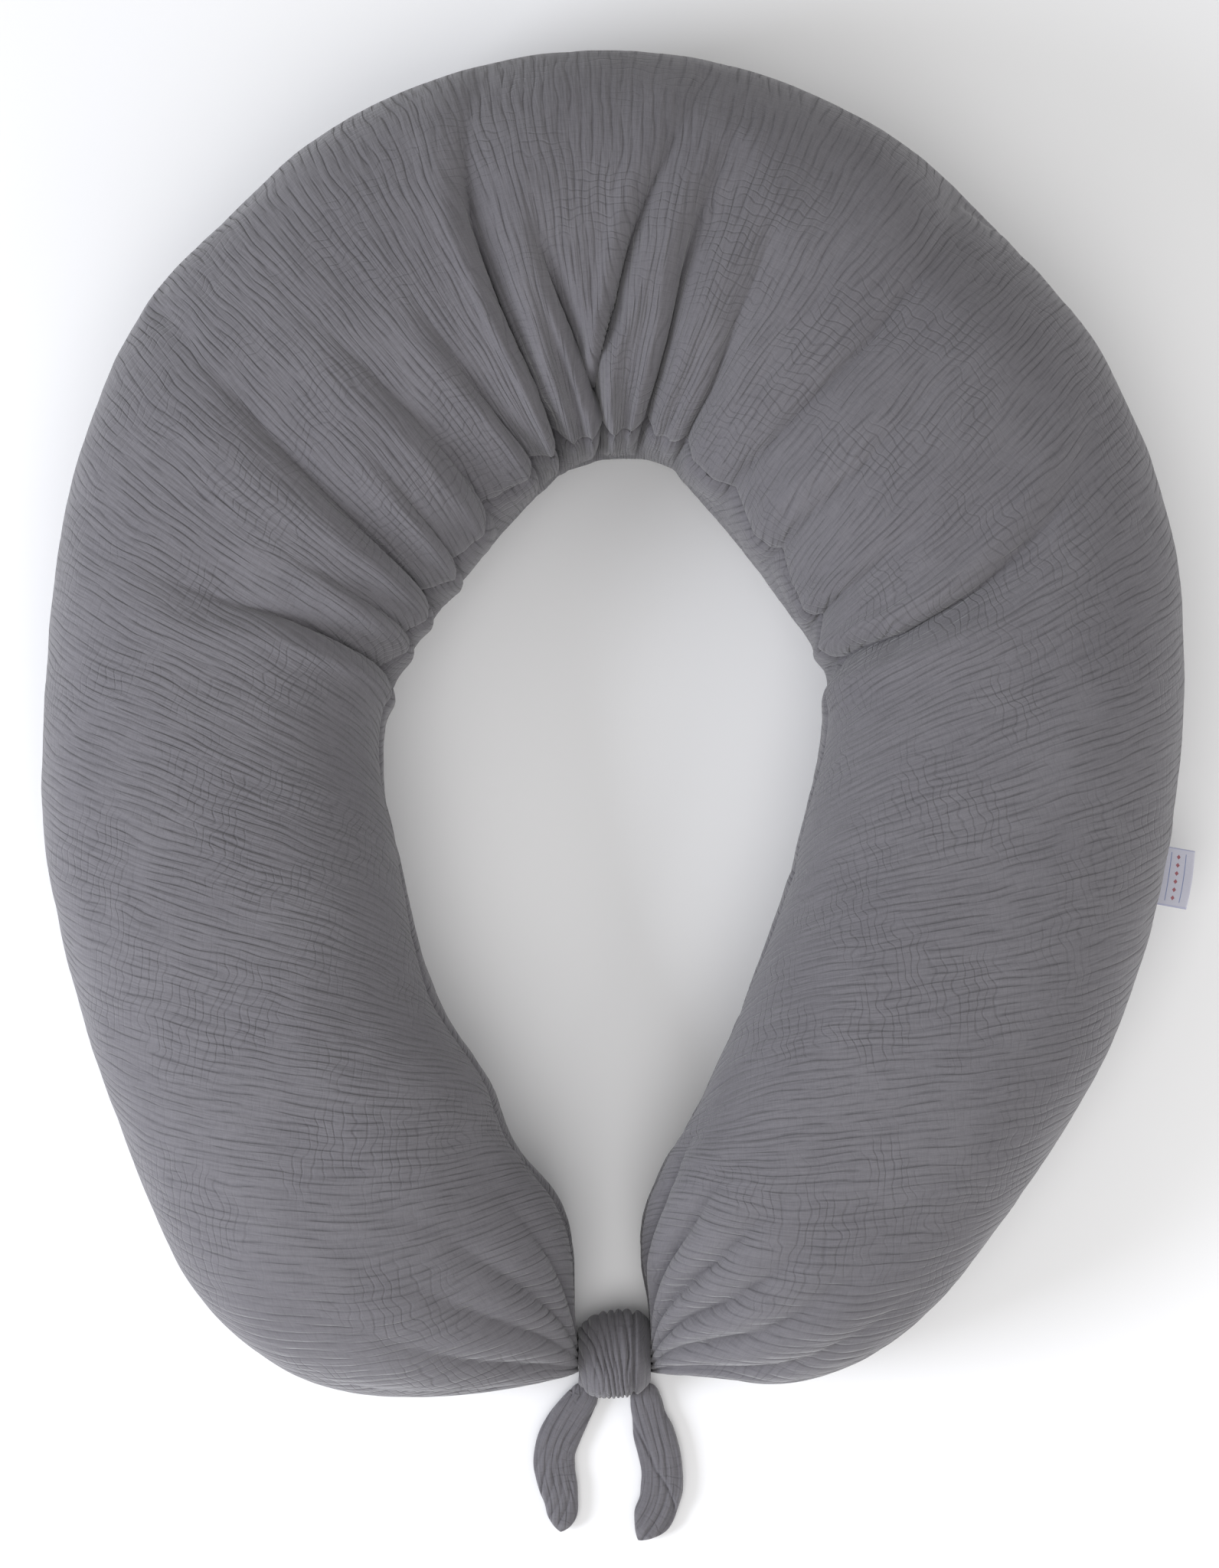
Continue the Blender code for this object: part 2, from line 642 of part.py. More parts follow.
def side_label(finish):
    """The ribbon loop in the outer seam of the right arm. Its origin is on its fold line at the seam."""
    place = SPINE.length * LABEL_SHARE
    point, normal = section_at(place, OUTER_SEAM)
    root = in_space(place, *(point + LABEL_STANDOFF * normal))
    half = RIBBON_LOOP / 2
    turns = np.linspace(0, math.pi, 7)
    bend = [(LABEL_REACH - half + half * math.sin(a), half * math.cos(a)) for a in turns]
    strip = [(0.0, RIBBON_ROOT / 2), *bend, (0.0, -RIBBON_ROOT / 2)]
    edges = (-LABEL_WIDTH / 2, LABEL_WIDTH / 2)
    grid = np.array([[(edge, out, up) for out, up in strip] for edge in edges])
    obj = add_object("side_label", sheet_mesh("side_label", grid), finish)
    add_modifier(obj, "SOLIDIFY", thickness=RIBBON_THICKNESS, offset=0.0, use_even_offset=True)
    obj.location = root
    obj.rotation_euler = (0, 0, -SPINE.outward_angle(place))
    return obj


def tail_root(side):
    """The axis that a tail swings on, at the lower edge of the knot."""
    return KNOT_CENTRE + Vector((side * TAIL_SPREAD / 2, TAIL_INSET - KNOT_LENGTH / 2, 0))


def tail_pocket(side, finish):
    """The cutter of the round pocket in the knot, over the root of a tail."""
    builder = bmesh.new()
    bmesh.ops.create_cone(
        builder,
        cap_ends=True,
        segments=POCKET_SIDES,
        radius1=TAIL_ROOT_WIDTH / 2 + KNOT_GAP,
        radius2=TAIL_ROOT_WIDTH / 2 + KNOT_GAP,
        depth=2 * (TAIL_FLOOR_GAP + TAIL_THICKNESS + KNOT_GAP),
        matrix=Matrix.Translation(tail_root(side)),
    )
    mesh = bpy.data.meshes.new("tail_pocket")
    builder.to_mesh(mesh)
    builder.free()
    return add_object("tail_pocket", mesh, finish)


def tie_knot(finish):
    """The knotted middle of the two ties, with a pocket over the root of each tail."""
    rings = []
    for share in np.linspace(-1, 1, KNOT_SECTIONS):
        swell = 1 - (1 - KNOT_END_SHARE) * share**2
        half, height = swell * KNOT_LENGTH / 2, swell * KNOT_HEIGHT
        ring = []
        for turn in np.arange(KNOT_SIDES) * 2 * math.pi / KNOT_SIDES:
            out, up = section_point(half, half, height, turn)
            ring.append((KNOT_CENTRE.x + share * KNOT_WIDTH / 2, KNOT_CENTRE.y + out, up))
        rings.append(ring)
    obj = add_object("tie_knot", loft_mesh("tie_knot", rings), finish)
    for side in (-1, 1):
        cut_with(obj, tail_pocket(side, finish))
    return obj


def tail_ring(shift, down, half, lean):
    """A section of a tail: a flattened round, thinner where it is narrow."""
    thin = min(1.0, TAIL_TIP_THICKNESS + half / (TAIL_WIDTH / 2))
    ring = []
    for turn in np.arange(TAIL_SIDES) * 2 * math.pi / TAIL_SIDES:
        wide = half * power(math.cos(turn), 2 / ROUNDNESS)
        rise = thin * power(math.sin(turn), 2 / ROUNDNESS)
        up = TAIL_FLOOR_GAP + TAIL_THICKNESS / 2 * (1 + rise)
        ring.append((shift + wide * math.cos(lean), -down + wide * math.sin(lean), up))
    return ring


def tie_tail(name, side, length, stations, finish):
    """A tapered tail with a round root. Its origin is on its swing axis."""
    rows = np.array(stations) * (length, length, TAIL_WIDTH / 2)
    curve = smooth_curve(rows[:, 0], rows)
    root = TAIL_ROOT_WIDTH / 2
    spots = [(0.0, -root * math.cos(a), root * math.sin(a)) for a in np.radians(TAIL_ROOT_ANGLES)]
    for down in np.linspace(0, length, TAIL_SECTIONS):
        _, shift, half = curve(down)
        spots.append((shift, down, half))
    rings = []
    for i, (shift, down, half) in enumerate(spots):
        ahead, behind = spots[min(i + 1, len(spots) - 1)], spots[max(i - 1, 0)]
        lean = math.atan2(ahead[0] - behind[0], ahead[1] - behind[1]) if down > 0 else 0.0
        rings.append(tail_ring(shift, down, half, lean))
    obj = add_object(name, loft_mesh(name, rings), finish)
    obj.location = tail_root(side)
    return obj


def main():
    clear_scene()
    muslin = material("grey_muslin", (0.21, 0.21, 0.23), 0.9)
    cotton = material("white_cotton", (0.78, 0.77, 0.74), 0.9)
    fibre = material("white_fibre", (0.86, 0.86, 0.85), 1.0)
    satin = material("pale_satin", (0.74, 0.75, 0.82), 0.45)
    tape = material("grey_tape", (0.17, 0.17, 0.19), 0.8)
    nylon = material("grey_nylon", (0.15, 0.15, 0.16), 0.45)
    metal = material("grey_metal", (0.35, 0.35, 0.37), 0.35, 1.0)

    cover_panel("cover_top_panel", True, muslin)
    cover_panel("cover_bottom_panel", False, muslin)
    case_panel("inner_case_top_panel", True, cotton)
    case_panel("inner_case_bottom_panel", False, cotton)
    filling("fibre_filling", fibre)
    tie_knot(muslin)
    tie_tail("left_tie_tail", -1, LEFT_TAIL_LENGTH, LEFT_TAIL, muslin)
    tie_tail("right_tie_tail", 1, RIGHT_TAIL_LENGTH, RIGHT_TAIL, muslin)
    side_label(satin)
    zip_tape("zip_tape_upper", 1, tape)
    zip_tape("zip_tape_lower", -1, tape)
    zip_coil("zip_coil_upper", 1, nylon)
    zip_coil("zip_coil_lower", -1, nylon)
    zip_stop("zip_start_stop", -1, metal)
    zip_stop("zip_end_stop", 1, metal)
    zip_slider(metal)
    zip_pull(metal)


main()
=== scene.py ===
# %% [markdown]
# # A nursing pillow of crinkled muslin
# The real pillow is a long crescent of double muslin, stuffed, bent into a ring and tied at its tips.
# Its shape comes from three things: the crescent that was cut, the stuffing that rounds it, and the
# bend, which leaves too much cloth on the inner side, so that it gathers into folds. This lesson makes
# each of them in that order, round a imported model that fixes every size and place.

import json
import math

import bmesh
import bpy
import numpy as np
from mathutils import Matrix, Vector


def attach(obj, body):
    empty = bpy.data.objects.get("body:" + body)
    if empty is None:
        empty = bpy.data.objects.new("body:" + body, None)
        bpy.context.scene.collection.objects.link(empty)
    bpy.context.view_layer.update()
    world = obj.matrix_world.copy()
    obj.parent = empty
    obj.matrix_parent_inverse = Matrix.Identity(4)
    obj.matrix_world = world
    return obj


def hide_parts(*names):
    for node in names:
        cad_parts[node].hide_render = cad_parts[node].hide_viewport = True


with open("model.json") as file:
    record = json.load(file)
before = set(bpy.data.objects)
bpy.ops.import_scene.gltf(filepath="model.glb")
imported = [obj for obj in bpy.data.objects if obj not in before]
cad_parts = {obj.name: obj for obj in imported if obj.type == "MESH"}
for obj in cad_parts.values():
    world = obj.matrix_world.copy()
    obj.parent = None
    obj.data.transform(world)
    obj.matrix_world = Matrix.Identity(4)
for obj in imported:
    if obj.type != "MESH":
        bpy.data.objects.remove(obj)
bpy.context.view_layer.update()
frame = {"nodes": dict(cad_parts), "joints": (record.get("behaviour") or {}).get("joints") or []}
MM = 0.001

# %% [markdown]
# ## The line of the tube
# A stuffed tube can be drawn as a line with a section at each place. A curve object with a bevel could
# do that, but it has one section only, and here the inner half is wider than the outer one and the
# height falls away towards the knot. So the sections are numbers in a short table, and a smooth curve
# runs through the table's rows.

# %% Driving sizes of the tube
RING_RADIUS = 0.3135  # outer seam round the crown
TUBE_WIDTH = 0.250
PILLOW_HEIGHT = 0.172
WAIST_SHARE = 0.48  # height of the widest level, over the height
ROUNDNESS = 2.3  # 2 is an ellipse, more is squarer
BASE_PRESS = 1.12  # how far the base would bulge through the floor, which flattens it
OUTER_SEAM = -math.radians(17.5)
CROWN_HALF = TUBE_WIDTH / 2
SPINE_RADIUS = RING_RADIUS - CROWN_HALF
CROWN = np.array([-0.0375, 0.474]) * RING_RADIUS
KNOT = CROWN + np.array([0.019, -1.582]) * RING_RADIUS
KNOT_WIDTH = 0.044
NECK = (0.012, 0.012, 0.022)  # inner and outer half width, and height, where the tube enters the knot

# Round the crown: outward direction in degrees from +Y towards +X, inner half width over the outer one.
CROWN_STATIONS = [(-50, 1.084), (-25, 1.084), (0, 1.056), (25, 1.008), (50, 0.984)]
CROWN_SEAM_RISE = 18
# Along each arm: centre from the crown's centre in ring radii, outward direction, half width and height
# over the crown's, and the rise of the inner seam above the widest level in degrees.
RIGHT_ARM = [
    (0.657, 0.144, 55.5, 1.000, 1.00, 16),
    (0.779, -0.182, 79.0, 0.905, 0.97, 10),
    (0.760, -0.514, 97.0, 0.880, 0.96, 5),
    (0.669, -0.839, 111.0, 0.875, 0.95, 5),
    (0.490, -1.177, 124.0, 0.785, 0.92, 5),
    (0.362, -1.355, 131.0, 0.715, 0.86, 5),
    (0.214, -1.451, 150.0, 0.545, 0.70, 5),
    (0.118, -1.515, 160.0, 0.285, 0.38, 5),
]
LEFT_ARM = [
    (-0.574, 0.227, -53.5, 1.050, 1.00, 16),
    (-0.718, -0.083, -74.0, 0.930, 0.98, 10),
    (-0.766, -0.405, -88.0, 0.835, 0.96, 5),
    (-0.724, -0.737, -102.0, 0.845, 0.95, 5),
    (-0.596, -1.101, -117.0, 0.835, 0.93, 12),
    (-0.478, -1.297, -130.0, 0.860, 0.90, 12),
    (-0.279, -1.447, -150.0, 0.650, 0.72, 12),
    (-0.095, -1.525, -165.0, 0.300, 0.38, 5),
]


# %% The smooth curve through a table
def smooth_curve(knots, values):
    """A function of the knots' coordinate: the natural cubic spline through the rows of values."""
    gaps = np.diff(knots)
    slopes = np.diff(values, axis=0) / gaps[:, None]
    system = np.eye(len(knots))
    right = np.zeros_like(values)
    for i in range(1, len(knots) - 1):
        system[i, i - 1 : i + 2] = gaps[i - 1], 2 * (gaps[i - 1] + gaps[i]), gaps[i]
        right[i] = 6 * (slopes[i] - slopes[i - 1])
    bends = np.linalg.solve(system, right)

    def at(places):
        i = np.clip(np.searchsorted(knots, places) - 1, 0, len(gaps) - 1)
        gap = gaps[i][:, None]
        b = (places - knots[i])[:, None] / gap
        a = 1 - b
        bent = (a**3 - a) * bends[i] + (b**3 - b) * bends[i + 1]
        return a * values[i] + b * values[i + 1] + bent * gap**2 / 6

    return at


# %% Rows of the table
def arm_row(x, y, outward, width, height, rise):
    """Centre, outward direction, inner and outer half width, height, rise of the inner seam."""
    centre = CROWN + np.array([x, y]) * RING_RADIUS
    half = width * CROWN_HALF
    return *centre, math.radians(outward), half, half, height * PILLOW_HEIGHT, math.radians(rise)


def crown_row(outward, inner_share):
    angle = math.radians(outward)
    centre = CROWN + np.array([math.sin(angle), math.cos(angle)]) * SPINE_RADIUS
    halves = inner_share * CROWN_HALF, CROWN_HALF
    return *centre, angle, *halves, PILLOW_HEIGHT, math.radians(CROWN_SEAM_RISE)


def neck_row(side):
    x = KNOT[0] + side * (KNOT_WIDTH / 2 + 0.5 * MM)
    return x, KNOT[1], side * math.pi, *NECK, math.radians(5)


left_rows = [arm_row(*station) for station in reversed(LEFT_ARM)]
crown_rows = [crown_row(*station) for station in CROWN_STATIONS]
right_rows = [arm_row(*station) for station in RIGHT_ARM]
table = np.array([neck_row(-1), *left_rows, *crown_rows, *right_rows, neck_row(1)])
knots = np.concatenate([[0.0], np.cumsum(np.linalg.norm(np.diff(table[:, :2], axis=0), axis=1))])
SPINE_LENGTH = knots[-1]
CROWN_START, CROWN_END = knots[len(LEFT_ARM) + 1], knots[len(LEFT_ARM) + len(CROWN_STATIONS)]
CROWN_MIDDLE = (CROWN_START + CROWN_END) / 2
table_curve = smooth_curve(knots, table)
print(f"length along the middle of the tube: {SPINE_LENGTH:.3f} m")


# %% Sections at any place
def rows_at(places):
    """The table's row at each place. Round the crown the rows lie on true arcs."""
    rows = table_curve(places)
    low, high = math.radians(CROWN_STATIONS[0][0]), math.radians(CROWN_STATIONS[-1][0])
    angle = low + (high - low) * (places - CROWN_START) / (CROWN_END - CROWN_START)
    arc = CROWN + np.stack([np.sin(angle), np.cos(angle)], 1) * SPINE_RADIUS
    crown = np.column_stack([arc, angle, rows[:, 3], np.full(len(places), CROWN_HALF)])
    on_crown = (places >= CROWN_START) & (places <= CROWN_END)
    rows[:, :5] = np.where(on_crown[:, None], crown, rows[:, :5])
    rows[:, 5] = np.where(on_crown, PILLOW_HEIGHT, rows[:, 5])
    return rows


def power(value, exponent):
    return np.sign(value) * np.abs(value) ** exponent


def profile(rows, turns):
    """Across from the middle line and up from the floor. Turn 0 looks outward, a quarter turn up."""
    half = np.where(np.cos(turns) > 0, rows[:, 4:5], rows[:, 3:4])
    across = power(np.cos(turns), 2 / ROUNDNESS) * half
    rise = power(np.sin(turns), 2 / ROUNDNESS)
    height = rows[:, 5:6]
    waist = WAIST_SHARE * height
    pressed = np.maximum(-1.0, BASE_PRESS * rise)
    return across, np.where(rise >= 0, waist + (height - waist) * rise, waist * (1 + pressed))


def in_space(rows, across, up):
    angle = rows[:, 2:3]
    return np.stack([rows[:, :1] + across * np.sin(angle), rows[:, 1:2] + across * np.cos(angle), up], -1)


# %% [markdown]
# ## Measuring on the skin
# A tailor measures along the cloth, not through the air. Every detail here is placed the same way: how
# far along the tube, and how far round it from a seam. So each section is walked once in small steps,
# and the running length says which turn belongs to which distance.

# %% Distances round the sections
WALK_STEPS = 720
CORNER_REACH = 0.030  # over which the corner where the crown meets an arm is rounded


def eased_rows(places):
    """The rows at some places, with the two corners at the crown's ends rounded off."""
    rows = rows_at(places)
    steps = np.linspace(-CORNER_REACH, CORNER_REACH, 9)
    around = np.mean([rows_at(places + step) for step in steps], axis=0)
    corner = sum(np.exp(-(((places - place) / CORNER_REACH) ** 4)) for place in (CROWN_START, CROWN_END))
    return rows + corner[:, None] * (around - rows)


class Skin:
    """The smooth tube at some places along it, measured round from the outer seam over the top."""

    def __init__(self, places):
        self.places = places
        self.rows = eased_rows(places)
        turns = OUTER_SEAM + np.linspace(0, 2 * math.pi, WALK_STEPS + 1)
        self.turns = np.tile(turns, (len(places), 1))
        across, up = profile(self.rows, self.turns)
        steps = np.hypot(np.diff(across, axis=1), np.diff(up, axis=1))
        self.lengths = np.concatenate([np.zeros((len(places), 1)), np.cumsum(steps, axis=1)], axis=1)
        inner = math.pi - self.rows[:, 6]
        self.top = np.array([np.interp(t, turns, length) for t, length in zip(inner, self.lengths)])
        self.girth = self.lengths[:, -1]

    def points(self, distances):
        """Points of the skin, one row for each place, at distances from the outer seam."""
        turns = np.array([np.interp(d, l, t) for d, l, t in zip(distances, self.lengths, self.turns)])
        return in_space(self.rows, *profile(self.rows, turns))


def from_outer(skin, distances):
    """The shorter way round to the outer seam."""
    return np.minimum(distances, skin.girth[:, None] - distances)


def end_distance(skin):
    """Along the tube to its nearer end."""
    return np.minimum(skin.places, SPINE_LENGTH - skin.places)


def grid_normals(points):
    """Outward unit normals of a grid that runs left to right along the tube and up over its top."""
    along, round_it = np.gradient(points, axis=0), np.gradient(points, axis=1)
    normals = np.cross(round_it, along)
    return normals / np.maximum(np.linalg.norm(normals, axis=2, keepdims=True), 1e-12)


middle_skin = Skin(np.array([CROWN_MIDDLE]))
print(f"girth at the crown: {middle_skin.girth[0]:.3f} m, of which {middle_skin.top[0]:.3f} m on top")

# %% [markdown]
# ## Folds
# Where the crown bends, the inner side has cloth to spare. It collapses into a few deep folds that
# start at the inner seam and fade towards the outside. Each one is a line: how far along the
# tube, how far over the top from the inner seam, how deep and how wide. A fold is a sharp valley
# between two soft swellings, because the cloth that sinks in pushes its neighbours out.

# %% The folds that the bend has left
# Each point: along the tube from the crown's middle, and up over the top from the inner seam, in metres;
# then the depth and the width of the valley in millimetres.
FOLDS = [
    [
        (-0.050, 0.260, 1.5, 12), (-0.065, 0.215, 5, 10), (-0.080, 0.160, 11, 8),
        (-0.090, 0.100, 17, 7), (-0.095, 0.055, 20, 7), (-0.100, 0.0, 17, 9),
    ],
    [(-0.045, 0.130, 1.5, 5), (-0.040, 0.090, 12, 6), (-0.030, 0.045, 18, 7), (-0.015, 0.0, 17, 9)],
    [
        (0.040, 0.235, 1.5, 9), (0.030, 0.180, 6, 8), (0.015, 0.125, 12, 6),
        (0.005, 0.085, 15, 6), (-0.010, 0.055, 17, 6), (-0.020, 0.0, 10, 8),
    ],
    [
        (0.060, 0.205, 2, 9), (0.055, 0.150, 6, 8), (0.055, 0.110, 11, 7),
        (0.060, 0.065, 13, 7), (0.060, 0.035, 15, 7), (0.060, 0.0, 14, 8),
    ],
    [
        (0.150, 0.275, 1, 20), (0.170, 0.205, 6, 18), (0.185, 0.135, 9, 16),
        (0.195, 0.060, 8, 13), (0.200, 0.0, 6, 12),
    ],
    [
        (0.295, 0.235, 1, 14), (0.330, 0.175, 6, 12), (0.355, 0.120, 12, 9),
        (0.370, 0.070, 15, 8), (0.370, 0.0, 13, 9),
    ],
    [(-0.230, 0.275, 1, 22), (-0.250, 0.185, 7, 18), (-0.275, 0.100, 10, 13), (-0.305, 0.0, 12, 11)],
    [
        (-0.350, 0.205, 1, 16), (-0.360, 0.145, 6, 14), (-0.365, 0.095, 11, 10),
        (-0.375, 0.045, 14, 8), (-0.380, 0.0, 12, 9),
    ],
    [(0.100, 0.150, 1, 10), (0.110, 0.090, 5, 9), (0.125, 0.045, 7, 8), (0.130, 0.0, 9, 9)],
    [(0.230, 0.165, 1, 13), (0.245, 0.090, 6, 11), (0.250, 0.0, 8, 11)],
    [(0.305, 0.090, 1, 9), (0.315, 0.045, 5, 8), (0.320, 0.0, 8, 9)],
    [(-0.135, 0.150, 1, 11), (-0.145, 0.085, 5, 9), (-0.150, 0.040, 7, 7), (-0.150, 0.0, 9, 9)],
    [(-0.185, 0.175, 1, 13), (-0.195, 0.095, 6, 10), (-0.205, 0.0, 10, 9)],
    [(-0.230, 0.100, 1, 9), (-0.245, 0.050, 5, 7), (-0.255, 0.0, 8, 8)],
    [(-0.320, 0.120, 1, 9), (-0.335, 0.060, 6, 8), (-0.345, 0.0, 8, 8)],
]
SWELLING = 0.30  # height of the swellings beside a fold, over its depth
LIP_SHARE = 0.34  # how far the left side leans over the valley, over the depth
STEEP_SIDE = 0.6  # width of a fold's left side, which overhangs, over its mean width
DEEPEST = max(point[2] for line in FOLDS for point in line)


def fold_shape(along, over, line):
    """Inward depth, lip shift along the tube, and painted shade of one fold, at places of the top panel."""
    line = np.array(line, float)[::-1]
    middle, depth, width = (np.interp(over, line[:, 1], line[:, i]) for i in (0, 2, 3))
    fade = np.clip(1 - (over - line[-1, 1]) / 0.03, 0, 1) * np.clip(1 + over / 0.05, 0, 1)
    away = (along - middle) / (width * MM)
    lip = LIP_SHARE * np.exp(-(((away + 0.6) / 0.6) ** 2))
    away = np.where(away < 0, away / STEEP_SIDE, away / (2 - STEEP_SIDE))
    valley = 0.5 * np.exp(-((away / 1.5) ** 2)) + 0.6 * np.exp(-np.abs(away) / 0.5)
    beside = np.exp(-(((np.abs(away) - 2.6) / 1.3) ** 2))
    size = depth * MM * fade
    shade = fade * np.exp(-np.abs(away) / 0.35) * depth / DEEPEST
    return np.stack([size * (valley - SWELLING * beside), size * lip, shade])


def all_folds(along, over):
    """Depth, shift and shade of all the folds together."""
    return sum(fold_shape(along, over, line) for line in FOLDS)


print(f"{len(FOLDS)} folds, the deepest {DEEPEST} mm")

# %% [markdown]
# ## Pleats at the knot
# The tube's end is drawn together into the knot, so its whole girth has to fit into a neck as thick as
# a thumb. The cloth does that by pleating lengthwise: waves that run along the tube, deep at the knot
# and gone a hand's breadth away.

# %% Lengthwise pleats
PLEAT_PEAK = 0.038  # from the knot to where the pleats are deepest
LEFT_PLEATS, RIGHT_PLEATS = (12, 5.4 * MM), (15, 9.0 * MM)  # number, and height at the peak
PLEAT_SEAM_FADE = 0.012
LEFT_SHADE = 0.6  # shade of the left creases over that of the right ones


def pleat_height(from_knot, around, count, depth):
    """Outward height of the pleats and the shade of their creases. Around is the share of the girth."""
    wander = 0.35 * np.sin(from_knot / 0.021) + 0.5 * np.sin(2 * math.pi * 3 * around + 1.0)
    near = from_knot / PLEAT_PEAK
    fade = (near * np.exp(1 - near)) ** 1.5 + 0.25 * np.exp(-8 * near)
    wave = np.abs(np.sin(math.pi * count * around + wander))
    return depth * fade * (wave**0.7 - 0.6), np.minimum(1, fade) * np.exp(-wave / 0.36)


def both_pleats(skin, distances):
    """Height and shade of both ends' pleats, flat along the seams so that the panels stay together."""
    around = distances / skin.girth[:, None]
    from_left = skin.places[:, None] + 0 * around
    left = pleat_height(from_left, around, *LEFT_PLEATS)
    right = pleat_height((SPINE_LENGTH - skin.places)[:, None] + 0 * around, around, *RIGHT_PLEATS)
    to_inner = np.abs(distances - skin.top[:, None])
    to_seam = np.minimum(to_inner, from_outer(skin, distances))
    seam_fade = np.clip(to_seam / PLEAT_SEAM_FADE, 0, 1)
    return (left[0] + right[0]) * seam_fade, (LEFT_SHADE * left[1] + right[1]) * seam_fade


# %% [markdown]
# ## The crinkle of the muslin
# Double muslin is two gauzes caught together, and washing puckers it into long narrow ridges that follow
# the weave. The pattern is laid out on the flat crescent, as on the cutting table, and only then bent:
# the ridges stand square to the seam at the crown and slant more and more along the arms.

# %% Where each point lay on the cutting table
FLAT_HALF_TURN = 0.82  # how far each half of the flat crescent turns, in radians
FLAT_RADIUS = SPINE_LENGTH / 2 / FLAT_HALF_TURN


def flat_place(along, across):
    """Across and along the grain, from distances along the tube and outward over a panel."""
    turn = along / FLAT_RADIUS
    return (FLAT_RADIUS + across) * np.sin(turn), (FLAT_RADIUS + across) * np.cos(turn) - FLAT_RADIUS


# %% Smooth random hills
def hills(x, y, seed):
    """A smooth random height between -1 and 1, with about one hill to each unit of x and y."""
    heights = np.random.default_rng(seed).uniform(-1, 1, (512, 512))
    column, row = np.floor(x).astype(int), np.floor(y).astype(int)
    fx, fy = x - column, y - row
    fx, fy = fx * fx * (3 - 2 * fx), fy * fy * (3 - 2 * fy)
    low = heights[column % 512, row % 512] * (1 - fx) + heights[(column + 1) % 512, row % 512] * fx
    row = row + 1
    high = heights[column % 512, row % 512] * (1 - fx) + heights[(column + 1) % 512, row % 512] * fx
    return low * (1 - fy) + high * fy


# %% Relief of the crinkle
def crinkle(p, q):
    """Outward relief in metres at a place of the flat cloth: puffy ridges between narrow grooves."""
    drift = p + 4 * MM * hills(q / 0.030, p / 0.060, 3)
    ridges = hills(drift / 0.0075, q / 0.055, 5)
    broad = hills(drift / 0.013, q / 0.090, 7)
    across = hills(p / 0.040, q / 0.0075, 9)
    grooves = -np.exp(-((ridges / 0.20) ** 2))
    return MM * (0.20 * grooves + 0.32 * broad + 0.12 * across)


def lumps(p, q):
    """The gentle unevenness of the stuffing, in metres."""
    return MM * (1.5 * hills(p / 0.085, q / 0.075, 11) + 0.9 * hills(p / 0.035, q / 0.045, 13))


# %% [markdown]
# ## Letting the cloth settle
# The folds above are only a start. A cloth simulation with air pressure inside lets them lean, pinch and
# bulge as real cloth does. The trick is its rest shape: the cloth is told that it belongs on a tube that
# is bent less than the ring, so that its inner side is too long for its place and has to buckle.

# %% Sizes of the simulation
SIM_ALONG, SIM_TOP, SIM_BOTTOM = 300, 62, 50
SIM_FRAMES = 14
UNBEND = 0.86  # bend of the rest shape, over the bend of the ring
MAX_OUT, MAX_IN = 7 * MM, 16 * MM
PRESSURE = 3.0
CLOSER_AT_SEAMS = 0.5
SAG_CELLS = 5  # slower changes than this many cells are sag of the whole tube, and are taken out
END_GRIP, ZIP_GRIP = 0.02, 0.03  # how far from the ends and from the zip the cloth is held
FLOOR_GRIP, FLOOR_HEIGHT, LEAST_GRIP = 0.7, 0.004, 0.04  # how firmly it is held on the floor, and elsewhere


def panel_distances(skin, top, count, hem=0.0):
    """Distances round each section over one panel, in steps that are smaller near its seams."""
    even = np.linspace(0, 1, count)[None, :]
    share = even - CLOSER_AT_SEAMS * np.sin(2 * math.pi * even) / (2 * math.pi)
    hem = np.broadcast_to(hem, skin.top.shape)[:, None]
    if top:
        return hem + (skin.top[:, None] - hem) * share
    return skin.top[:, None] + (skin.girth[:, None] - hem - skin.top[:, None]) * share


def less_bent(skin, points):
    """The same sections on a line that bends less, and as long as the ring on its outer side."""
    rows = skin.rows
    step = np.diff(rows[:, :2], axis=0)
    heading = np.unwrap(np.arctan2(-step[:, 1], step[:, 0]))
    heading = np.concatenate([heading, heading[-1:]])
    heading = np.convolve(np.pad(heading, 6, "edge"), np.ones(13) / 13, "valid")
    length = np.linalg.norm(step, axis=1)
    bend = np.gradient(heading) / np.append(length, length[-1])
    grow = (1 + bend * rows[:, 4]) / (1 + UNBEND * bend * rows[:, 4])
    pace = np.append(length, length[-1]) * grow
    turned = UNBEND * heading
    centre = np.stack([np.cumsum(pace * np.cos(turned)), -np.cumsum(pace * np.sin(turned))], 1)
    offset = points[..., :2] - rows[:, None, :2]
    angle = (heading - turned)[:, None]
    x = offset[..., 0] * np.cos(angle) - offset[..., 1] * np.sin(angle)
    y = offset[..., 0] * np.sin(angle) + offset[..., 1] * np.cos(angle)
    return np.stack([x + centre[:, None, 0], y + centre[:, None, 1], points[..., 2]], -1)


# %% The shape before it settles
ZIP_HALF_ANGLE = 0.21 / RING_RADIUS
PAST_ZIP_START, PAST_ZIP_RAMP = 0.04, 0.20  # in radians beyond the zip's end
END_FADE, FLOOR_FADE = 0.08, 0.02  # over which the lumps fade near the knot and near the floor
ZIP_CLEAR, ZIP_FADE = 0.012, 0.03  # how far the lumps stay from the zip


def past_zip(skin):
    """0 in the rows that hold the zip, rising smoothly to 1 beyond its ends."""
    past_end = np.abs(skin.rows[:, 2:3]) - ZIP_HALF_ANGLE
    beyond = np.clip((past_end - PAST_ZIP_START) / PAST_ZIP_RAMP, 0, 1)
    return beyond * beyond * (3 - 2 * beyond)


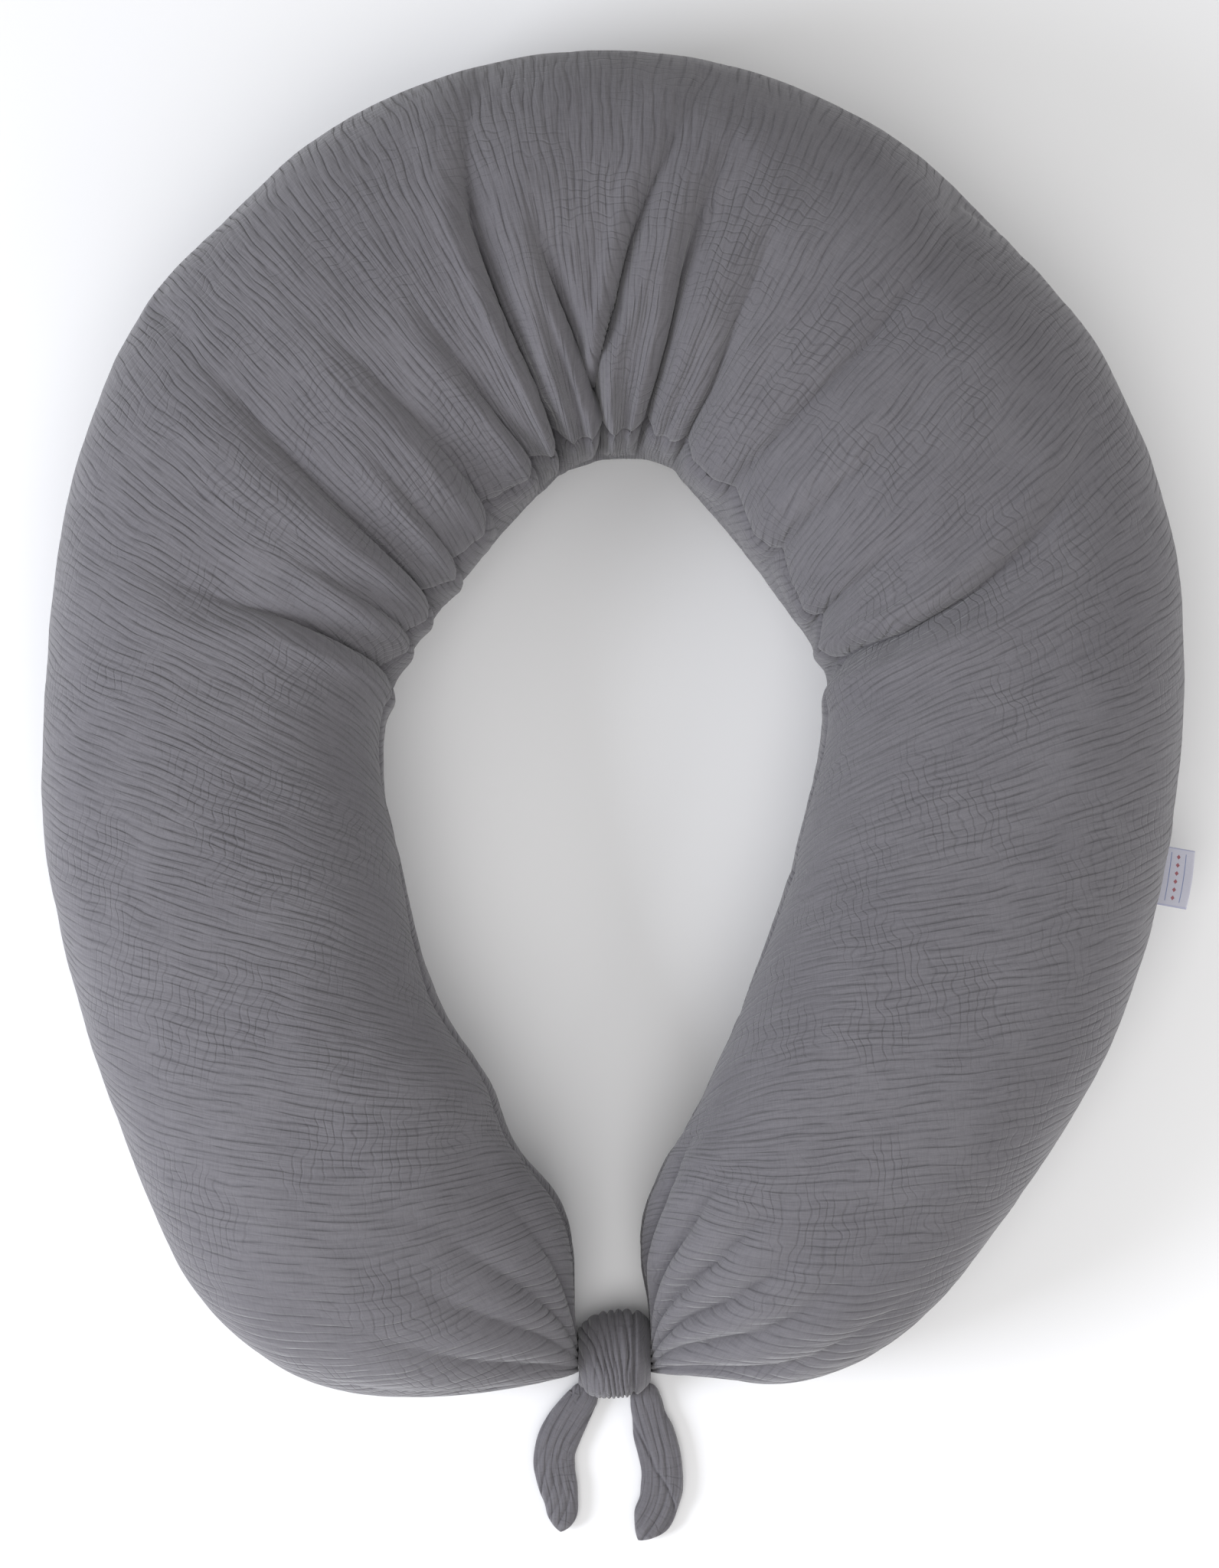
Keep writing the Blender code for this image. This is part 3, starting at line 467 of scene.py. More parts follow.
def folded(skin, distances):
    """Points and outward normals of the tube with its folds, pleats and lumps, but no crinkle."""
    points = skin.points(distances)
    normals = grid_normals(points)
    along = (skin.places - CROWN_MIDDLE)[:, None] + 0 * distances
    over = skin.top[:, None] - distances
    depth, shift, _ = all_folds(along, over)
    height = -depth
    ahead = np.gradient(points, axis=0)
    ahead /= np.maximum(np.linalg.norm(ahead, axis=2, keepdims=True), 1e-12)
    height += both_pleats(skin, distances)[0]
    end = end_distance(skin)[:, None]
    p, q = flat_place(along, skin.top[:, None] / 2 - distances)
    off_floor = np.clip(points[..., 2] / FLOOR_FADE, 0, 1)
    off_zip = np.clip((from_outer(skin, distances) - ZIP_CLEAR) / ZIP_FADE, 0, 1)
    off_zip = np.maximum(past_zip(skin), off_zip)
    height += lumps(p, q) * np.clip(end / END_FADE, 0, 1) * off_floor * off_zip
    return points + height[..., None] * normals + shift[..., None] * ahead, normals


# %% Putting something in the scene
def placed(name, data):
    """A new object in the scene that shows a mesh, a light or a camera."""
    obj = bpy.data.objects.new(name, data)
    bpy.context.scene.collection.objects.link(obj)
    return obj


# %% The cloth simulation
def settle(points, rest, held):
    """The closed grid of points after the cloth has settled under pressure."""
    along, around = points.shape[:2]
    cells = [(i, j, (j + 1) % around) for i in range(along - 1) for j in range(around)]
    quads = [
        (i * around + j, i * around + k, (i + 1) * around + k, (i + 1) * around + j) for i, j, k in cells
    ]
    mesh = bpy.data.meshes.new("settling")
    mesh.from_pydata(points.reshape(-1, 3).tolist(), [], quads)
    obj = placed("settling", mesh)
    obj.shape_key_add(name="Basis")
    key = obj.shape_key_add(name="less_bent")
    key.data.foreach_set("co", rest.reshape(-1).astype(np.float32))
    group = obj.vertex_groups.new(name="held")
    for index, weight in enumerate(held.reshape(-1)):
        group.add([index], float(weight), "REPLACE")
    modifier = obj.modifiers.new("Cloth", "CLOTH")
    cloth = modifier.settings
    cloth.quality = 5
    cloth.mass = 0.2
    cloth.tension_stiffness = cloth.compression_stiffness = 30
    cloth.shear_stiffness = 6
    cloth.bending_stiffness = 1.2
    cloth.vertex_group_mass = "held"
    cloth.use_pressure = True
    cloth.uniform_pressure_force = PRESSURE
    cloth.effector_weights.gravity = 0
    cloth.rest_shape_key = key
    modifier.collision_settings.use_collision = False
    modifier.point_cache.frame_start, modifier.point_cache.frame_end = 1, SIM_FRAMES
    for number in range(1, SIM_FRAMES + 1):
        bpy.context.scene.frame_set(number)
    shown = obj.evaluated_get(bpy.context.evaluated_depsgraph_get())
    moved = np.zeros(points.size, np.float32)
    shown.data.vertices.foreach_get("co", moved)
    bpy.context.scene.frame_set(1)
    bpy.data.objects.remove(obj)
    bpy.data.meshes.remove(mesh)
    return moved.reshape(points.shape).astype(float)


# %% Smoothing a closed grid
def smoothed(grid, cells):
    """The grid blurred along the tube and round it by this many cells."""
    reach = int(3 * cells)
    weights = np.exp(-0.5 * (np.arange(-reach, reach + 1) / cells) ** 2)
    weights /= weights.sum()
    round_it = sum(w * np.roll(grid, k - reach, axis=1) for k, w in enumerate(weights))
    padded = np.pad(round_it, ((reach, reach), (0, 0)), "edge")
    return sum(w * padded[k : k + len(grid)] for k, w in enumerate(weights))


# %% Settle the coarse tube
skin = Skin(np.linspace(0, SPINE_LENGTH, SIM_ALONG))
top_distances = panel_distances(skin, True, SIM_TOP)
bottom_distances = panel_distances(skin, False, SIM_BOTTOM)
distances = np.concatenate([top_distances[:, :-1], bottom_distances[:, :-1]], axis=1)
start, normals = folded(skin, distances)
near_end = np.clip(1 - end_distance(skin)[:, None] / END_GRIP, 0, 1)
from_outer_seam = from_outer(skin, distances)
near_zip = np.clip(1.5 - from_outer_seam / ZIP_GRIP, 0, 1) * (1 - past_zip(skin))
on_floor = FLOOR_GRIP * np.clip(1 - start[..., 2] / FLOOR_HEIGHT, 0, 1)
held = np.maximum.reduce([near_end + 0 * distances, near_zip, on_floor, LEAST_GRIP + 0 * distances])
moved = settle(start, less_bent(skin, start), held)
change = moved - start
for axis in range(3):
    change[..., axis] -= smoothed(change[..., axis], SAG_CELLS)
outward = np.sum(change * normals, axis=2, keepdims=True)
change += (np.clip(outward, -MAX_IN, MAX_OUT) - outward) * normals
change *= 1 - np.maximum(near_end + 0 * distances, near_zip)[..., None]
length = np.linalg.norm(change, axis=2, keepdims=True)
change *= np.minimum(1, MAX_IN / np.maximum(length, 1e-9))
print(f"the cloth moved {1000 * length.mean():.1f} mm on average and {1000 * length.max():.1f} mm at most")

# %% [markdown]
# ## The two panels of the cover
# The cover is two crescents, sewn together along both long edges. They stay two pieces here too, each
# with its raw edge turned inside, so that the seam is a real groove between two rounded edges. Round the
# crown the outer seam stays open for the zip.

# %% Finer grids from coarse ones
def stretch_grid(grid, rows, columns):
    """A coarse grid read at fractional rows and columns, with smooth cubic steps."""
    def read(values, places):
        i = np.clip(np.floor(places).astype(int), 0, len(values) - 2)
        t = (places - i)[(...,) + (None,) * (values.ndim - 1)]
        before, after = values[np.maximum(i - 1, 0)], values[np.minimum(i + 2, len(values) - 1)]
        a, b = values[i], values[i + 1]
        slope_a, slope_b = (b - before) / 2, (after - a) / 2
        return (
            (2 * t**3 - 3 * t**2 + 1) * a + (t**3 - 2 * t**2 + t) * slope_a
            + (3 * t**2 - 2 * t**3) * b + (t**3 - t**2) * slope_b
        )

    along = read(grid, rows)
    return np.swapaxes(read(np.swapaxes(along, 0, 1), columns), 0, 1)


# %% Sizes of the fine mesh
FINE_ALONG, FINE_TOP, FINE_BOTTOM = 860, 110, 90
WINDOW_HALF = 5.65 * MM  # half the zip's open window
# The turned edge: how far back from the edge and how far below the face, in millimetres.
TURNED_IN = ((-0.25, 0.4), (-0.2, 1.0), (0.6, 1.4))
GROOVE_DEPTH, GROOVE_WIDTH = 2.6 * MM, 3.4 * MM
SEAM_CALM, SEAM_LEAST = 0.005, 0.15  # the crinkle fades over this at the seams, to this share
WINDOW_FADE = 0.016  # past the zip's end, where the window closes
CLOSED_HEM = 0.1 * MM


def window_edge(rows):
    """How far the cover's edge lies from the outer seam: wide at the zip, closed elsewhere."""
    past_end = (np.abs(rows[:, 2]) - ZIP_HALF_ANGLE) * RING_RADIUS
    open_share = np.clip(1 - past_end / WINDOW_FADE, 0, 1)
    smooth = open_share**2 * (3 - 2 * open_share)
    smooth[np.abs(rows[:, 2]) > 1.2] = 0
    return CLOSED_HEM + (WINDOW_HALF - CLOSED_HEM) * smooth


def bottom_columns(grid):
    """The columns of the closed coarse grid that belong to the bottom panel, with both seams."""
    return np.concatenate([grid[:, SIM_TOP - 1 :], grid[:, :1]], axis=1)


fine_skin = Skin(np.linspace(0, SPINE_LENGTH, FINE_ALONG))
fine_hem = window_edge(fine_skin.rows)


# %% One panel as a grid
def panel_grid(top, count):
    """The finished face of one panel, with its turned edges, and where its points lay when flat."""
    distances = panel_distances(fine_skin, top, count, fine_hem)
    points, _ = folded(fine_skin, distances)
    rows = np.linspace(0, SIM_ALONG - 1, FINE_ALONG)
    if top:
        coarse = change[:, :SIM_TOP]
    else:
        coarse = bottom_columns(change)
    columns = np.linspace(0, coarse.shape[1] - 1, count)
    points = points + stretch_grid(coarse, rows, columns)
    normals = grid_normals(points)
    along = (fine_skin.places - CROWN_MIDDLE)[:, None] + 0 * distances
    sign = 1 if top else -1
    middle = fine_skin.top[:, None] / 2 if top else (fine_skin.top + fine_skin.girth)[:, None] / 2
    p, q = flat_place(along, sign * (middle - distances))
    to_inner = np.abs(distances - fine_skin.top[:, None])
    to_outer = np.maximum(0.0, from_outer(fine_skin, distances) - fine_hem[:, None])
    at_window = ((fine_hem - fine_hem.min()) / np.ptp(fine_hem))[:, None]
    near_seams = np.clip(np.minimum(to_inner, to_outer) / SEAM_CALM, SEAM_LEAST, 1)
    height = crinkle(p, q + (0.0 if top else 3.1)) * near_seams
    for distance, share in ((to_inner, 1.0), (to_outer, 0.55 - 0.5 * at_window)):
        pucker = 1 + 0.35 * hills(p / 0.006, 0 * q + sign, 21)
        height -= share * GROOVE_DEPTH * pucker * np.exp(-((distance / GROOVE_WIDTH) ** 1.2))
    points = points + height[..., None] * normals
    points[..., 2] = np.maximum(points[..., 2], 0.3 * MM)
    # Painted shade for the colour: darker in the pleats' creases and, on the top panel, in the folds'
    # valleys.
    shade = both_pleats(fine_skin, distances)[1]
    if top:
        shade = shade + all_folds(along, fine_skin.top[:, None] - distances)[2]
    return points, normals, np.stack([p / MM, q / MM, shade], -1)


def turn_edges(points, normals):
    """Adds the turned-in edge along both long sides of a panel."""
    sides = []
    for edge, inner in ((0, 1), (-1, -2)):
        into = points[:, inner] - points[:, edge]
        into /= np.linalg.norm(into, axis=1, keepdims=True)
        strip = [points[:, edge] + (back * into - down * normals[:, edge]) * MM for back, down in TURNED_IN]
        sides.append(strip)
    first = [row[:, None] for row in reversed(sides[0])]
    last = [row[:, None] for row in sides[1]]
    return np.concatenate([*first, points, *last], axis=1)


# %% Meshes from grids
def grid_mesh(name, points, attributes=None, closed=False, weld=False):
    """A smooth-shaded mesh through a grid, facing out, with named numbers on its points."""
    along, around = points.shape[:2]
    i, j = np.meshgrid(np.arange(along - 1), np.arange(around if closed else around - 1), indexing="ij")
    k = (j + 1) % around
    here, ahead = i * around, (i + 1) * around
    quads = np.stack([here + j, here + k, ahead + k, ahead + j], -1).reshape(-1, 4)
    mesh = bpy.data.meshes.new(name)
    mesh.vertices.add(along * around)
    mesh.vertices.foreach_set("co", points.reshape(-1).astype(np.float32))
    mesh.loops.add(quads.size)
    mesh.loops.foreach_set("vertex_index", quads.reshape(-1).astype(np.int32))
    mesh.polygons.add(len(quads))
    mesh.polygons.foreach_set("loop_start", np.arange(0, quads.size, 4, dtype=np.int32))
    mesh.update(calc_edges=True)
    mesh.validate()
    mesh.shade_smooth()
    for key, values in (attributes or {}).items():
        layer = mesh.attributes.new(key, "FLOAT_VECTOR", "POINT")
        layer.data.foreach_set("vector", values.reshape(-1).astype(np.float32))
    if weld:
        builder = bmesh.new()
        builder.from_mesh(mesh)
        bmesh.ops.remove_doubles(builder, verts=builder.verts, dist=0.002 * MM)
        bmesh.ops.recalc_face_normals(builder, faces=builder.faces)
        builder.to_mesh(mesh)
        builder.free()
        mesh.shade_smooth()
    return placed(name, mesh)


def make_panel(name, top, count):
    points, normals, flat = panel_grid(top, count)
    whole = turn_edges(points, normals)
    extra = len(TURNED_IN)
    flat = np.pad(flat, ((0, 0), (extra, extra), (0, 0)), "edge")
    obj = grid_mesh(name, whole, {"grain": flat})
    return obj, points, normals


top_panel, top_face, top_normals = make_panel("muslin_top_panel", True, FINE_TOP)
bottom_panel, bottom_face, bottom_normals = make_panel("muslin_bottom_panel", False, FINE_BOTTOM)
for obj, node in ((top_panel, "cover_top_panel"), (bottom_panel, "cover_bottom_panel")):
    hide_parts(node)
    print(obj.name, len(obj.data.polygons), "faces")

# %% [markdown]
# ## Writing shaders as sums
# A material is a network of nodes, and a network is hard to read in code. Here one small class stands for
# a node's output, and Python's own + and * on it add the Math nodes. Colours and directions go through
# Vector Math and Mix, because a plain Math node would turn them grey.

# %% One class for node outputs
class Wire:
    """The output of a node. Sums and products on it add nodes to the same material."""

    def __init__(self, tree, socket=None):
        self.tree = tree
        self.socket = socket

    def add(self, kind, settings=None, inputs=None, output=0):
        """Any node: its settings first, then the values or links of its sockets, by name or number."""
        node = self.tree.nodes.new("ShaderNode" + kind)
        for name, value in (settings or {}).items():
            setattr(node, name, value)
        for key, value in (inputs or {}).items():
            if isinstance(value, Wire):
                self.tree.links.new(value.socket, node.inputs[key])
            else:
                node.inputs[key].default_value = value
        return Wire(self.tree, node.outputs[output])

    def sum_node(self, operation, *values):
        """A Math node, or a Vector Math node if one of the values is a colour or a direction."""
        wires = [value for value in values if isinstance(value, Wire)]
        triple = any(isinstance(value, tuple) for value in values)
        if triple or any(wire.socket.type != "VALUE" for wire in wires):
            values = [(v, v, v) if isinstance(v, (int, float)) else v for v in values]
            return self.add("VectorMath", {"operation": operation}, dict(enumerate(values)))
        return self.add("Math", {"operation": operation}, dict(enumerate(values)))

    def __add__(self, other):
        return self.sum_node("ADD", self, other)

    def __radd__(self, other):
        return self.sum_node("ADD", other, self)

    def __sub__(self, other):
        return self.sum_node("SUBTRACT", self, other)

    def __rsub__(self, other):
        return self.sum_node("SUBTRACT", other, self)

    def __mul__(self, other):
        return self.sum_node("MULTIPLY", self, other)

    def __rmul__(self, other):
        return self.sum_node("MULTIPLY", other, self)

    def __abs__(self):
        return self.sum_node("ABSOLUTE", self)

    def wave(self):
        return self.sum_node("SINE", self)

    def between(self, low, high):
        """0 below low, 1 above high, and smooth between them."""
        inputs = {"Value": self, "From Min": low, "From Max": high}
        return self.add("MapRange", {"interpolation_type": "SMOOTHSTEP"}, inputs)

    def blend(self, first, second):
        """The first colour where this number is 0, the second where it is 1."""
        colours = [(*c, 1.0) if isinstance(c, tuple) else c for c in (first, second)]
        inputs = {0: self, 6: colours[0], 7: colours[1]}
        return self.add("Mix", {"data_type": "RGBA"}, inputs, output=2)

    def noise(self, scale=1.0, detail=2.0, roughness=0.5):
        inputs = {"Vector": self, "Scale": scale, "Detail": detail, "Roughness": roughness}
        return self.add("TexNoise", None, inputs)

    def parts(self):
        node = self.add("SeparateXYZ", None, {0: self}).socket.node
        return [Wire(self.tree, socket) for socket in node.outputs]

    def joined(self, x, y, z=0.0):
        return self.add("CombineXYZ", None, {0: x, 1: y, 2: z})


def new_finish(name, **constants):
    """A material, its shader node, and a wire to start from. Constants go straight on the shader."""
    finish = bpy.data.materials.new(name)
    finish.use_nodes = True
    shader = finish.node_tree.nodes["Principled BSDF"]
    for key, value in constants.items():
        shader.inputs[key.replace("_", " ")].default_value = value
    return finish, shader, Wire(finish.node_tree)


def connect(shader, wire, **values):
    for key, value in values.items():
        wire.tree.links.new(value.socket, shader.inputs[key.replace("_", " ")])


def bumped(wire, height, distance, strength=1.0):
    return wire.add("Bump", None, {"Height": height, "Distance": distance, "Strength": strength})


# %% [markdown]
# ## Grey muslin
# Muslin is an open plain weave of uneven yarn. From an arm's length you see the crinkle, a little
# lighter on its ridges, where the nap catches the light, and darker in its grooves; here the colour is
# darkened with painted shade in the grooves, the hollows and the creases. Closer, the yarns themselves
# show as a fine grid with thicker and thinner threads. All of it is drawn on the flat cloth's own
# coordinates, which the panels carry as an attribute called grain, in millimetres, with the painted
# shade of the folds and pleats as its third number.

# %% The muslin
CRINKLE_PITCH, WAFFLE_PITCH = 4.9, 5.6  # millimetres from groove to groove, along and across


def muslin_finish():
    """Long ridges along q, a weaker waffle across them, yarns, and painted shade in the grooves and
    creases.
    """
    matt = {"Roughness": 0.92, "Sheen_Weight": 0.28, "Sheen_Roughness": 0.5, "Specular_IOR_Level": 0.25}
    finish, shader, start = new_finish("grey_muslin", **matt)
    grain = start.add("Attribute", {"attribute_name": "grain"}, output=1)
    p, q, crease = grain.parts()
    drift = start.joined(p * (1 / 36.0), q * (1 / 60.0)).noise(1.0, 1.0, 0.5)
    jitter = start.joined(p * (1 / 4.0), q * (1 / 34.0)).noise(1.0, 1.0, 0.4)
    phase = p * (math.pi / CRINKLE_PITCH) + drift * 7.0 + jitter * 1.5
    ridge = abs(phase.wave())
    groove = 1.0 - ridge.between(0.0, 0.50)
    uneven = start.joined(p * (1 / 7.0), q * (1 / 27.0)).noise(1.0, 1.0).between(0.31, 0.60)
    groove = groove * uneven
    streaks = start.joined(p * (1 / 2.1), q * (1 / 34.0)).noise(1.0, 2.0, 0.5)
    wander = start.joined(p * (1 / 16.0), q * (1 / 20.0)).noise(1.0, 1.0)
    waffle_phase = q * (math.pi / WAFFLE_PITCH) + wander * 9.0
    waffle = 1.0 - abs(waffle_phase.wave()).between(0.0, 0.5)
    patches = (grain * (1 / 60.0)).noise(1.0, 1.0).between(0.45, 0.62)
    waffle = waffle * (patches * 0.8 + 0.2)
    yarn_p = start.joined(p * (1 / 0.55), q * (1 / 6.0)).noise(1.0, 1.0)
    yarn_q = start.joined(p * (1 / 6.0), q * (1 / 0.6)).noise(1.0, 1.0)
    weave = yarn_p * 0.5 + yarn_q * 0.5
    height = ridge * 0.34 * (uneven * 0.6 + 0.4) - groove * 0.36 + streaks * 0.85
    height = height - waffle * 0.26 + weave * 0.10
    light = (grain * 0.012).noise(1.0, 2.0).between(0.3, 0.7)
    base = light.blend((0.133, 0.128, 0.140), (0.147, 0.142, 0.154))
    hollows = 1.0 - streaks.between(0.34, 0.58)
    # Painted shade: darker in the crinkle's grooves, in the hollows between streaks and in the waffle's
    # grooves.
    painted_shade_colour = (groove * 0.42 + hollows * 0.24 + waffle * 0.30).blend(base, (0.080, 0.077, 0.086))
    # Painted shade, darker still in the creases of folds, pleats, knot and tails, from grain's third
    # number.
    painted_shade_colour = (crease * 0.75).between(0.0, 1.0).blend(painted_shade_colour, (0.050, 0.047, 0.053))
    flecks = weave.between(0.35, 0.65)
    colour = (flecks * 0.14).blend(painted_shade_colour, (0.26, 0.25, 0.27))
    connect(shader, start, Base_Color=colour, Normal=bumped(start, height, 0.0014, 0.9))
    return finish


MUSLIN = muslin_finish()
for obj in (top_panel, bottom_panel):
    obj.data.materials.append(MUSLIN)
print(MUSLIN.name, len(MUSLIN.node_tree.nodes), "nodes")

# %% [markdown]
# ## The inner pillow
# Under the cover is a plain cotton case full of fibre. It follows the cover from a few millimetres
# below, without the sharp folds, because only the cover's cloth is long enough to fold. A shape that
# must stay under a folded one can be found with a moving minimum: the lowest point of each
# neighbourhood, and then a blur.

# %% Case and filling
CASE_END, CASE_DOME, CASE_TIP = 0.055, 0.070, 0.12
settled = start + change
below = np.sum((settled - skin.points(distances)) * normals, axis=2)
for axis in (0, 1):
    below = np.min([np.roll(below, k, axis=axis) for k in range(-3, 4)], axis=0)
below = smoothed(below, 2.0)


def inner_tube(depth):
    """The closed grid of the inner pillow at a depth below the cover, with domed tips."""
    from_inner_seam = np.abs(distances - skin.top[:, None])
    room = depth + 3 * MM * np.clip(1.6 - np.minimum(from_outer_seam, from_inner_seam) / 0.02, 0, 1)
    points = skin.points(distances) + (below - room)[..., None] * normals
    inside = end_distance(skin) - CASE_END
    share = np.clip(inside / CASE_DOME, 0, 1)
    taper = np.maximum(CASE_TIP, np.sqrt(1 - (1 - share) ** 2))[:, None, None]
    centre = np.column_stack([skin.rows[:, :2], WAIST_SHARE * skin.rows[:, 5]])[:, None, :]
    points = centre + (points - centre) * taper
    points[..., 2] = np.maximum(points[..., 2], depth)
    return points[inside > 0]


def capped(points):
    """The grid with both ends drawn to a point, so that it is closed."""
    first, last = points[:1].mean(axis=1, keepdims=True), points[-1:].mean(axis=1, keepdims=True)
    around = points.shape[1]
    return np.concatenate([np.repeat(first, around, 1), points, np.repeat(last, around, 1)])


case_tube = inner_tube(3.6 * MM)
case_top = grid_mesh("case_top_panel", case_tube[:, :SIM_TOP])
case_bottom = grid_mesh("case_bottom_panel", bottom_columns(case_tube))
fibre = grid_mesh("fibre_stuffing", capped(inner_tube(5.2 * MM)), closed=True, weld=True)
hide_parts("inner_case_top_panel")
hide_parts("inner_case_bottom_panel")
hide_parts("fibre_filling")
for obj, slot in ((case_top, "case_cotton"), (case_bottom, "case_cotton"), (fibre, "fibre")):
    print(obj.name, len(obj.data.polygons), "faces")


# %% Cotton and fibre
def plain_finish(name, dark, light, scale, distance, **constants):
    """A matt finish, mottled between two colours, with a fine relief."""
    finish, shader, start = new_finish(name, **constants)
    where = start.add("TexCoord", None, output=3) * scale
    grains = where.noise(1.0, 4.0, 0.6)
    colour = grains.between(0.3, 0.7).blend(dark, light)
    connect(shader, start, Base_Color=colour, Normal=bumped(start, grains, distance, 0.6))
    return finish


COTTON = plain_finish(
    "white_cotton", (0.74, 0.73, 0.70), (0.80, 0.79, 0.77), 900.0, 0.0004, Roughness=0.92
)
FIBRE = plain_finish(
    "white_fibre", (0.80, 0.80, 0.79), (0.88, 0.88, 0.87), 160.0, 0.002, Roughness=0.98
)
case_top.data.materials.append(COTTON)
case_bottom.data.materials.append(COTTON)
fibre.data.materials.append(FIBRE)

# %% [markdown]
# ## The knot
# The cover's two ends run out into ties, and the ties are knotted once. What shows is a band of gathered
# cloth wrapped over the others, so its pleats run across the pillow's line. Wrapped cloth like this is
# easy to loft: a round section pushed along a line, with waves that follow the wrap and not the line.

# %% Loft of the knot
KNOT_LENGTH, KNOT_HEIGHT, KNOT_END_SHARE = 0.055, 0.038, 0.74
KNOT_ALONG, KNOT_AROUND = 150, 180


def knot_pleats(x, y):
    """Outward height on the knot: pleats that slant on the left and stand straight on the right."""
    slant = x + 0.34 * y * np.clip(0.5 - x / 0.03, 0, 1)
    wander = slant + 1.5 * MM * hills(y / 0.016, x / 0.009, 31) + 1.1 * MM * np.sin(x / 0.0052)
    wave = np.abs(np.sin(math.pi * wander / 0.0043)) ** 0.55
    size = 3.6 * MM * (0.70 + 0.65 * hills(wander / 0.0045, y / 0.022, 33))
    band = 1 / (1 + np.exp(-(x - 0.0125) / 0.0006))
    edge = np.exp(-(((x - 0.0118) / 0.0011) ** 2))
    return (1 - 0.8 * band) * size * (wave - 0.75) + 1.0 * MM * band - 2.4 * MM * edge


def knot_grid():
    shares = np.sin(np.linspace(-math.pi / 2, math.pi / 2, KNOT_ALONG - 24))
    mouth = np.linspace(1, 0, 13)[1:]
    scales = np.concatenate([mouth[::-1] ** 0.5, np.ones(len(shares)), mouth**0.5])
    sink = np.concatenate([3 * (1 - mouth[::-1]), np.zeros(len(shares)), -3 * (1 - mouth)]) * MM
    shares = np.concatenate([-np.ones(12), shares, np.ones(12)])
    turns = np.linspace(0, 2 * math.pi, KNOT_AROUND, endpoint=False)[None, :]
    swell = (1 - 0.36 * np.abs(shares) ** 3.4)[:, None]
    half = swell * KNOT_LENGTH / 2
    zero = 0 * shares
    rows = np.column_stack([zero, zero, zero, half, half, swell * KNOT_HEIGHT, zero])
    across, up = profile(rows, turns)
    x = (KNOT_WIDTH / 2) * shares[:, None] + 0 * across
    tilt = np.where(across > 0, 0.93 + 0.09 * shares[:, None], 1.0 - 0.05 * shares[:, None])
    across = across * tilt
    points = np.stack([KNOT[0] + x, KNOT[1] + across, up], -1)
    normals = grid_normals(points)
    height = knot_pleats(x, across) * np.clip(up / 0.006, 0, 1) * (scales > 0.999)[:, None]
    points = points + height[..., None] * normals * [0.4, 1, 1]
    centre = np.array([0, KNOT[1], WAIST_SHARE * KNOT_HEIGHT * KNOT_END_SHARE])
    points[..., 1:] = centre[1:] + (points[..., 1:] - centre[1:]) * scales[:, None, None]
    points[..., 0] += sink[:, None]
    points[..., 2] = np.maximum(points[..., 2], 0.2 * MM)
    shade = np.clip(-height / (2.4 * MM), 0, 0.45)
    flat = np.stack([x / MM, (across + 0.8 * up) / MM, shade], -1)
    return points[::-1], flat[::-1]


knot_points, knot_flat = knot_grid()
knot = grid_mesh("tied_knot", knot_points, {"grain": knot_flat}, closed=True, weld=True)
knot.data.materials.append(MUSLIN)
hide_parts("tie_knot")
print(knot.name, [round(v * 1000, 1) for v in knot.dimensions], "mm")

# %% [markdown]
# ## The tails
# Each tie ends in a short tail: a strip folded lengthwise and tapered to a point. Creases run
# along it from the knot, and one edge of the fold lies on top. The strip is lofted along its own
# middle line, and the fold's edge is a small step across the section.

# %% Tables of the tails
# Share of the length from the root, shift to the right in lengths, half width over the widest.
TAIL_TABLES = {
    "left": [
        (0, 0, 0.69), (0.15, -0.10, 0.90), (0.45, -0.22, 1.0),
        (0.75, -0.17, 0.82), (0.91, -0.16, 0.62), (1.0, -0.17, 0.15),
    ],
    "right": [
        (0, 0, 0.69), (0.15, 0.03, 0.85), (0.40, 0.10, 0.95),
        (0.72, 0.10, 0.95), (0.88, 0.03, 0.80), (1.0, -0.05, 0.15),
    ],
}
TAIL_LENGTHS = {"left": 0.082, "right": 0.087}
TAIL_HALF, TAIL_ROOT, TAIL_THICKNESS, TAIL_FLOOR_GAP = 0.013, 0.0088, 0.009, 0.6 * MM
TAIL_ALONG, TAIL_AROUND = 120, 120


def tail_relief(side, down, across):
    """Outward height on the tail's face: creases along it, and the step of the fold's edge."""
    slant = 0.42 if side == "left" else 0.05
    line = across + slant * down + 1.6 * MM * hills(down / 0.018, across / 0.008, 41)
    wave = np.abs(np.sin(math.pi * line / 0.0062)) ** 0.6
    uneven = 0.55 + 0.6 * hills(line / 0.006, down / 0.025, 43)
    crease = 2.1 * MM * (wave - 0.7) * uneven
    if side == "left":
        return crease
    edge = across - np.interp(down, (0, 0.010, 0.045, 0.066), (-0.012, -0.010, -0.003, 0.012))
    step = 1.4 * MM / (1 + np.exp(-edge / 0.00035)) - 1.0 * MM * np.exp(-(((edge + 0.0006) / 0.0010) ** 2))
    return crease * np.where(edge > 0, 0.35, 0.7) + step - 0.5 * MM


# %% Loft of a tail
def joint_named(name):
    return next(joint for joint in frame["joints"] if joint["name"] == name)


